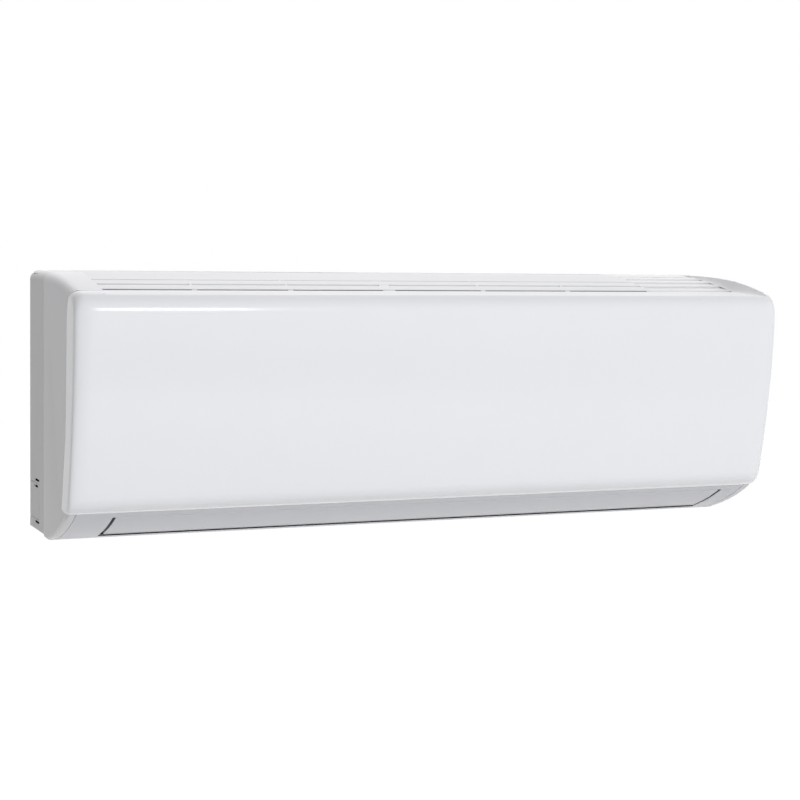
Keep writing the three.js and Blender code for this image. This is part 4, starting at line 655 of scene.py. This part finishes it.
def panel_column(from_end):
    """The points of one column, from the lower joint to the upper one."""
    foot_start, foot_end, face_end, shoulder = (at(s) for s in (FOOT_START, FOOT[1], FACE[1], SHOULDER))
    belly = bend(at(BELLY[0]), at(BELLY[1]), foot_start, BELLY_SHARE)
    points = [meeting(foot_start, belly, from_end)]
    points += [bend(foot_start, at(FOOT[0]), foot_end, row / FOOT_ROWS) for row in range(FOOT_ROWS)]
    points += [bend(foot_end, at(FACE[0]), face_end, row / FACE_ROWS) for row in range(FACE_ROWS)]
    points += [bend(face_end, at(CROWN[0]), crown_end, crown_share(row)) for row in range(CROWN_ROWS)]
    edge = meeting(crown_end, shoulder, from_end)
    points += [crown_end.lerp(edge, row / TOP_ROWS) for row in range(TOP_ROWS + 1)]
    return [at_end(point, from_end) for point in points]


def panel_columns():
    """Each column's place along X and its points, from the left end to the right end."""
    turns = [k / EDGE_COLUMNS * math.pi / 2 for k in range(EDGE_COLUMNS + 1)]
    ends = [PANEL_EDGE * (1 - math.sin(turn)) for turn in turns]
    notch_left, notch_right = NOTCH_SIDES
    inner_end = HALF - PANEL_EDGE - INNER_MARGIN
    shares = [k / INNER_COLUMNS for k in range(INNER_COLUMNS + 1)]
    inner = [notch_left + share * (inner_end - notch_left) for share in shares]
    places = [end - HALF for end in ends] + inner + [HALF - end for end in ends]
    places = sorted(notch_right if abs(place - notch_right) < SNAP else place for place in places)
    made = [(x, panel_column(HALF - abs(x))) for x in places]
    outer = made[0][1]
    joint = [Vector((joint_depth(point.y), point.y)) for point in outer]
    # The lowest row shares the next row's place on the joint, so it doesn't shrink to a point.
    joint[0] = joint[1]
    for k in range(1, SIDE_COLUMNS + 1):
        points = [point.lerp(end, k / SIDE_COLUMNS) for point, end in zip(outer, joint)]
        made.insert(0, (-HALF, points))
        made.append((HALF, points))
    return made


columns = panel_columns()
print("panel:", len(columns), "columns of", len(columns[0][1]), "points, notch at row", notch_row)

# %% The front panel's skin
shape = bmesh.new()
column_count, row_count = len(columns) - 1, len(columns[0][1]) - 1
bmesh.ops.create_grid(shape, x_segments=column_count, y_segments=row_count, size=1)
for vert in shape.verts:
    x, points = columns[round((vert.co.x + 1) / 2 * column_count)]
    point = points[round((vert.co.y + 1) / 2 * row_count)]
    vert.co = Vector((x, -point.x, LOW.z + point.y))
cut = [
    face
    for face in shape.faces
    if NOTCH_SIDES[0] < face.calc_center_median().x < NOTCH_SIDES[1]
    and -face.calc_center_median().y < NOTCH_DEPTH
    and face.calc_center_median().z > LOW.z + FACE[1][1] * HEIGHT
]
bmesh.ops.delete(shape, geom=cut, context="FACES")
bmesh.ops.remove_doubles(shape, verts=shape.verts, dist=WELD)
bmesh.ops.recalc_face_normals(shape, faces=shape.faces)
if max(shape.faces, key=lambda face: face.calc_area()).normal.y > 0:
    bmesh.ops.reverse_faces(shape, faces=shape.faces)
mark_edges(shape)
panel = add_object("front_panel_skin", shape)
thick = panel.modifiers.new("wall", "SOLIDIFY")
thick.thickness = WALL
thick.offset = -1
round_edges(panel, RIM_ROUND, 3)
finish_piece(panel, "front_panel")
print("panel skin", len(panel.data.polygons), "faces")

# %% The panel's hinge pins
PIN_RADIUS = 1.6 * MM
PIN_SIDES = (412 * MM, 420.7 * MM)
PIN_AXIS = Vector((189.5, 266.005)) * MM
PIN_ROUND = 0.3 * MM
PIN_SEGMENTS = 24


def add_rod(shape, sides, centre, radius, segments):
    """Adds a rod between two places along X, with its centre at a point of the section."""
    place = Matrix.Translation(((sides[0] + sides[1]) / 2, -centre.x, LOW.z + centre.y))
    bmesh.ops.create_cone(
        shape, cap_ends=True, segments=segments, radius1=radius, radius2=radius,
        depth=sides[1] - sides[0], matrix=place @ Matrix.Rotation(math.pi / 2, 4, "Y"),
    )


shape = bmesh.new()
add_rod(shape, (-PIN_SIDES[1], -PIN_SIDES[0]), PIN_AXIS, PIN_RADIUS, PIN_SEGMENTS)
add_rod(shape, PIN_SIDES, PIN_AXIS, PIN_RADIUS, PIN_SEGMENTS)
mark_edges(shape)
pins = add_object("front_panel_pins", shape)
round_edges(pins, PIN_ROUND, 2)
finish_piece(pins, "front_panel")
print("pins at", [round(value / MM, 2) for value in PIN_AXIS])

# %% [markdown]
# ## Gaps painted with shade
#
# Where two mouldings don't quite meet, the eye sees a dark line, because little light comes back out
# of the gap. The CAD solids are open behind their gaps, so pale inner walls would show there. Thin
# near-black plates paint that shade into the gaps instead: round the opening of the louver, behind
# the three slots of the left end, and under the front blade of the intake grille. They lie on the
# walls of the gaps and stay clear of everything that moves. Straight plates are blocks. Curved ones
# start as a grid whose corners are laid on lines of points, and Solidify gives them a wall, so they
# are closed bodies too.
# A thin bead rounds the louver's lower edge, and catches the light beside the dark gap.

# %% Helpers for small pieces
FINE_ROUND = 0.05 * MM


def add_block(shape, sides, depths, heights):
    """Adds a block between two places along X, two depths and two heights, all in millimetres."""
    low = Vector((sides[0] * MM, -depths[1] * MM, LOW.z + heights[0] * MM))
    high = Vector((sides[1] * MM, -depths[0] * MM, LOW.z + heights[1] * MM))
    scale = Matrix.Diagonal((*(high - low), 1))
    bmesh.ops.create_cube(shape, size=1, matrix=Matrix.Translation((low + high) / 2) @ scale)


def add_sheet(shape, lines, facing):
    """Adds a sheet of faces with a corner on each point of the given lines, which looks one way."""
    line_count, point_count = len(lines) - 1, len(lines[0]) - 1
    made = bmesh.ops.create_grid(shape, x_segments=line_count, y_segments=point_count, size=1)["verts"]
    for vert in made:
        line = lines[round((vert.co.x + 1) / 2 * line_count)]
        vert.co = line[round((vert.co.y + 1) / 2 * point_count)]
    for face in {face for vert in made for face in vert.link_faces}:
        face.normal_update()
        if face.normal.dot(facing) < 0:
            face.normal_flip()


def finish_extra(name, shape, body, slot, radius=FINE_ROUND, finish=None, wall=None):
    """Makes a small piece that stands beside the CAD solids and replaces none of them."""
    mark_edges(shape)
    obj = add_object(name, shape)
    if wall:
        thick = obj.modifiers.new("wall", "SOLIDIFY")
        thick.thickness = wall
        thick.offset = -1
    round_edges(obj, radius, 2)
    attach(obj, body)
    obj.data.materials.append(materials[finish or slot])


print("small pieces are rounded by", FINE_ROUND / MM, "mm")

# %% The slots of the left end
SLOT_DEPTHS = (24.88, 44.08)
SLOT_HEIGHTS = (13.0, 52.5, 59.5)
SLOT_HALF = 1.4
SLOT_FLOOR = (0.5, 0.9)
shape = bmesh.new()
side = HALF / MM
sides = [inwards - side for inwards in SLOT_FLOOR]
for height in SLOT_HEIGHTS:
    add_block(shape, sides, SLOT_DEPTHS, (height - SLOT_HALF, height + SLOT_HALF))
# The slots' floors are near-black painted shade, for the shadow deep inside the slots.
finish_extra("slot_shade_floors", shape, "casing", "dark_plastic", finish="painted_gap_shade")
print(len(SLOT_HEIGHTS), "slots")

# %% The lining of the louver's opening
OPENING = (-369.5, 385.5)
OPENING_BACK = 97.5
LOUVER_AXIS = Vector((107.008, 18.005)) * MM
LINING_REACH = 51.1 * MM
LINING_FRONT, LINING_INNER = 0.7 * MM, 12 * MM
LINING_THICK = 0.4
LINING_HEIGHTS = (6.3, 9.6)
BELLY_STEPS = 60
BELLY_AHEAD = 0.01
LIP_SHARES = (0.115, 0.145, 0.178)
LIP_PROUD = 0.12 * MM
LIP_ROUND = 0.02 * MM


def belly_point(share):
    """A point of the belly, and the direction into the unit there."""
    ends = at(BELLY[0]), at(BELLY[1]), at(FOOT_START)
    ahead = bend(*ends, share + BELLY_AHEAD) - bend(*ends, share - BELLY_AHEAD)
    return bend(*ends, share), Vector((-ahead.y, ahead.x)).normalized()


def section_place(x, point):
    """The place in space of a point of the section, x millimetres along the unit."""
    return Vector((x * MM, -point.x, LOW.z + point.y))


# A near-black plate behind the opening: painted shade for the dark inside of the outlet.
shape = bmesh.new()
add_block(shape, OPENING, (OPENING_BACK, OPENING_BACK + LINING_THICK), LINING_HEIGHTS)
finish_extra("louver_opening_shade_lining", shape, "casing", "dark_plastic", finish="painted_gap_shade")
print("lining at", OPENING_BACK, "mm from the wall")

# %% Painted shade bands at the ends and on the lip of the opening
inside = [
    (point, inward)
    for point, inward in map(belly_point, [k / BELLY_STEPS for k in range(BELLY_STEPS + 1)])
    if point.x > OPENING_BACK * MM and (point - LOUVER_AXIS).length < LINING_REACH
]
# Near-black sheets on the lip and the ends of the opening: painted shade under the louver.
shape = bmesh.new()
lip = [point - inward * LIP_PROUD for point, inward in map(belly_point, LIP_SHARES)]
lines = [[section_place(x, point) for point in lip] for x in OPENING]
add_sheet(shape, lines, Vector((0, -1, -1)))
for x, facing in ((OPENING[0] + LINING_THICK, 1), (OPENING[1] - LINING_THICK, -1)):
    lines = [
        [section_place(x, point + inward * reach) for point, inward in inside]
        for reach in (LINING_FRONT, LINING_INNER)
    ]
    add_sheet(shape, lines, Vector((facing, 0, 0)))
finish_extra("louver_opening_shade_bands", shape, "casing", "dark_plastic", LIP_ROUND, "painted_gap_shade", LIP_PROUD)
print("bands along", len(inside), "places")

# %% The bead along the louver's lower edge
LOUVER_SIDES = (-365.5 * MM, 381.5 * MM)
BEAD_RADIUS = 0.8 * MM
BEAD_SHARE = 0.224
BEAD_SUNK = 0.6
BEAD_ROUND = 0.2 * MM
BEAD_SEGMENTS = 20
point, inward = belly_point(BEAD_SHARE)
centre = point + inward * BEAD_RADIUS * BEAD_SUNK
shape = bmesh.new()
add_rod(shape, LOUVER_SIDES, centre, BEAD_RADIUS, BEAD_SEGMENTS)
finish_extra("louver_bead", shape, "louver", "outlet_plastic", BEAD_ROUND)
print("bead at", [round(value / MM, 2) for value in centre])

# %% [markdown]
# ## Blades of the intake grille
#
# Seen from the front, each blade of the intake shows its edge and a sliver of its top. The CAD model
# holds the blades themselves. The front one stands over a gap behind the landing strip, which reads
# as a dark line broken by the ribs; near-black plates paint that shade into the gap. The numbers of
# the grille are the CAD model's: its surface falls towards the front in a gentle curve, and its ribs
# stand at even distances.

# %% Painted shade in the gap under the front blade
GRILLE_FRONT = 130
GRILLE_DROP = 15.606
BLADE_THICK = 2
MIDDLE_RIB = (-51, -39)
RIBS_PER_SIDE = 2
RIB_PITCH = 110
RIB_WIDTH = 3
RIB_OPENING = 3
LEFT_END, BLIND_START = -388, 291
GAP_DEPTHS = (0.05, 0.3)
GAP_HEIGHTS = (-0.6, 1.0)
ribs = [MIDDLE_RIB, (BLIND_START, BLIND_START)]
for k in range(1, RIBS_PER_SIDE + 1):
    left_of, right_of = MIDDLE_RIB[0] - k * RIB_PITCH, MIDDLE_RIB[1] + k * RIB_PITCH
    ribs += [(left_of - RIB_WIDTH, left_of), (right_of, right_of + RIB_WIDTH)]
ribs.sort()


def blade_height(depth):
    """Height of the grille's surface at a depth, in millimetres."""
    return HEIGHT / MM - GRILLE_DROP * (depth / GRILLE_FRONT) ** 2


def blade_spans():
    """The free lengths between the ribs, each a little short of the rib at its right."""
    start = LEFT_END
    for rib in ribs:
        yield start, rib[0] - RIB_OPENING
        start = rib[1]


# Near-black plates in the gap under the front blade: painted shade, broken by the ribs.
shape = bmesh.new()
under = blade_height(GRILLE_FRONT) - BLADE_THICK
depths = [GRILLE_FRONT + depth for depth in GAP_DEPTHS]
heights = [under + height for height in GAP_HEIGHTS]
for span in blade_spans():
    add_block(shape, span, depths, heights)
finish_extra("grille_front_gap_shade", shape, "casing", "dark_plastic", finish="painted_gap_shade")
print("ribs", ribs)

# %% [markdown]
# ## The ramp at the right end of the recess
#
# At its right end the recess of the intake doesn't end in a corner: a narrow ramp climbs from the
# blades and the landing strip to the unit's shoulder, and gets lower where the shoulder falls towards
# the panel. It is a sheet too. Each line of points runs along the ramp, from the back to the panel,
# and the lines climb faster near the rim, so the ramp is hollow like the mould's round corner.

# %% Heights beside the recess
SHOULDER_CURVE = ((0.574, 0.9965), (0.3, 0.999))
LANDING = ((136, 271.92), (198.97, 269.41))
RAMP_DEPTHS = (8, 198)
RAMP_SIDES = (399, 411)
RAMP_SPREAD = 122
RAMP_WIDTH = 5
RAMP_NARROW = 8
RAMP_LEAST = 0.1
RAMP_ROWS, RAMP_STEPS = 30, 8
RAMP_SINK = 0.4
RAMP_HOLLOW = 1.6
RAMP_WALL = 0.3 * MM
SHOULDER_STEPS = 20


def shoulder_height(depth):
    """Height of the unit's outer surface on top, at a depth."""
    low, high = 0.0, 1.0
    ends = at(SHOULDER), at(SHOULDER_CURVE[0]), at(SHOULDER_CURVE[1])
    for _ in range(SHOULDER_STEPS):
        middle = (low + high) / 2
        if bend(*ends, middle).x > depth * MM:
            low = middle
        else:
            high = middle
    return bend(*ends, low).y / MM


def rim_height(depth):
    """Height of the unit's outer surface beside the recess, from the back to the panel's crown."""
    if depth <= SHOULDER[0] * DEPTH / MM:
        return shoulder_height(depth)
    (d0, z0), (d1, z1) = (tuple(at(share) / MM) for share in (SHOULDER, CROWN[1]))
    return z0 + (z1 - z0) * (depth - d0) / (d1 - d0)


print("rim at the back", round(rim_height(RAMP_DEPTHS[0]), 2), "mm high")


# %% The ramp's sheet
def floor_height(depth):
    """Height of the blades, and in front of them of the landing strip."""
    (back, back_height), (front, front_height) = LANDING
    if depth < back:
        return blade_height(depth)
    return back_height + min(1, (depth - back) / (front - back)) * (front_height - back_height)


def ramp_point(across, along):
    """A point of the ramp, from its foot to its rim and from the back to the panel."""
    depth = RAMP_DEPTHS[0] + along * (RAMP_DEPTHS[1] - RAMP_DEPTHS[0])
    opened = min(1, (depth - RAMP_DEPTHS[0]) / RAMP_SPREAD)
    wall = RAMP_SIDES[0] + (RAMP_SIDES[1] - RAMP_SIDES[0]) * opened
    low = floor_height(depth)
    high = max(low, rim_height(depth)) - RAMP_SINK
    width = RAMP_WIDTH * min(1, (high - low) / RAMP_NARROW + RAMP_LEAST)
    x = wall - width * (1 - across)
    z = low - RAMP_SINK + (high - low + RAMP_SINK) * across**RAMP_HOLLOW
    return Vector((x * MM, -depth * MM, LOW.z + z * MM))


shape = bmesh.new()
lines = [
    [ramp_point(step / RAMP_STEPS, row / RAMP_ROWS) for row in range(RAMP_ROWS + 1)]
    for step in range(RAMP_STEPS + 1)
]
add_sheet(shape, lines, Vector((-1, 0, 1)))
finish_extra("recess_ramp", shape, "casing", "casing_plastic", wall=RAMP_WALL)
print("ramp", RAMP_WIDTH, "mm wide")
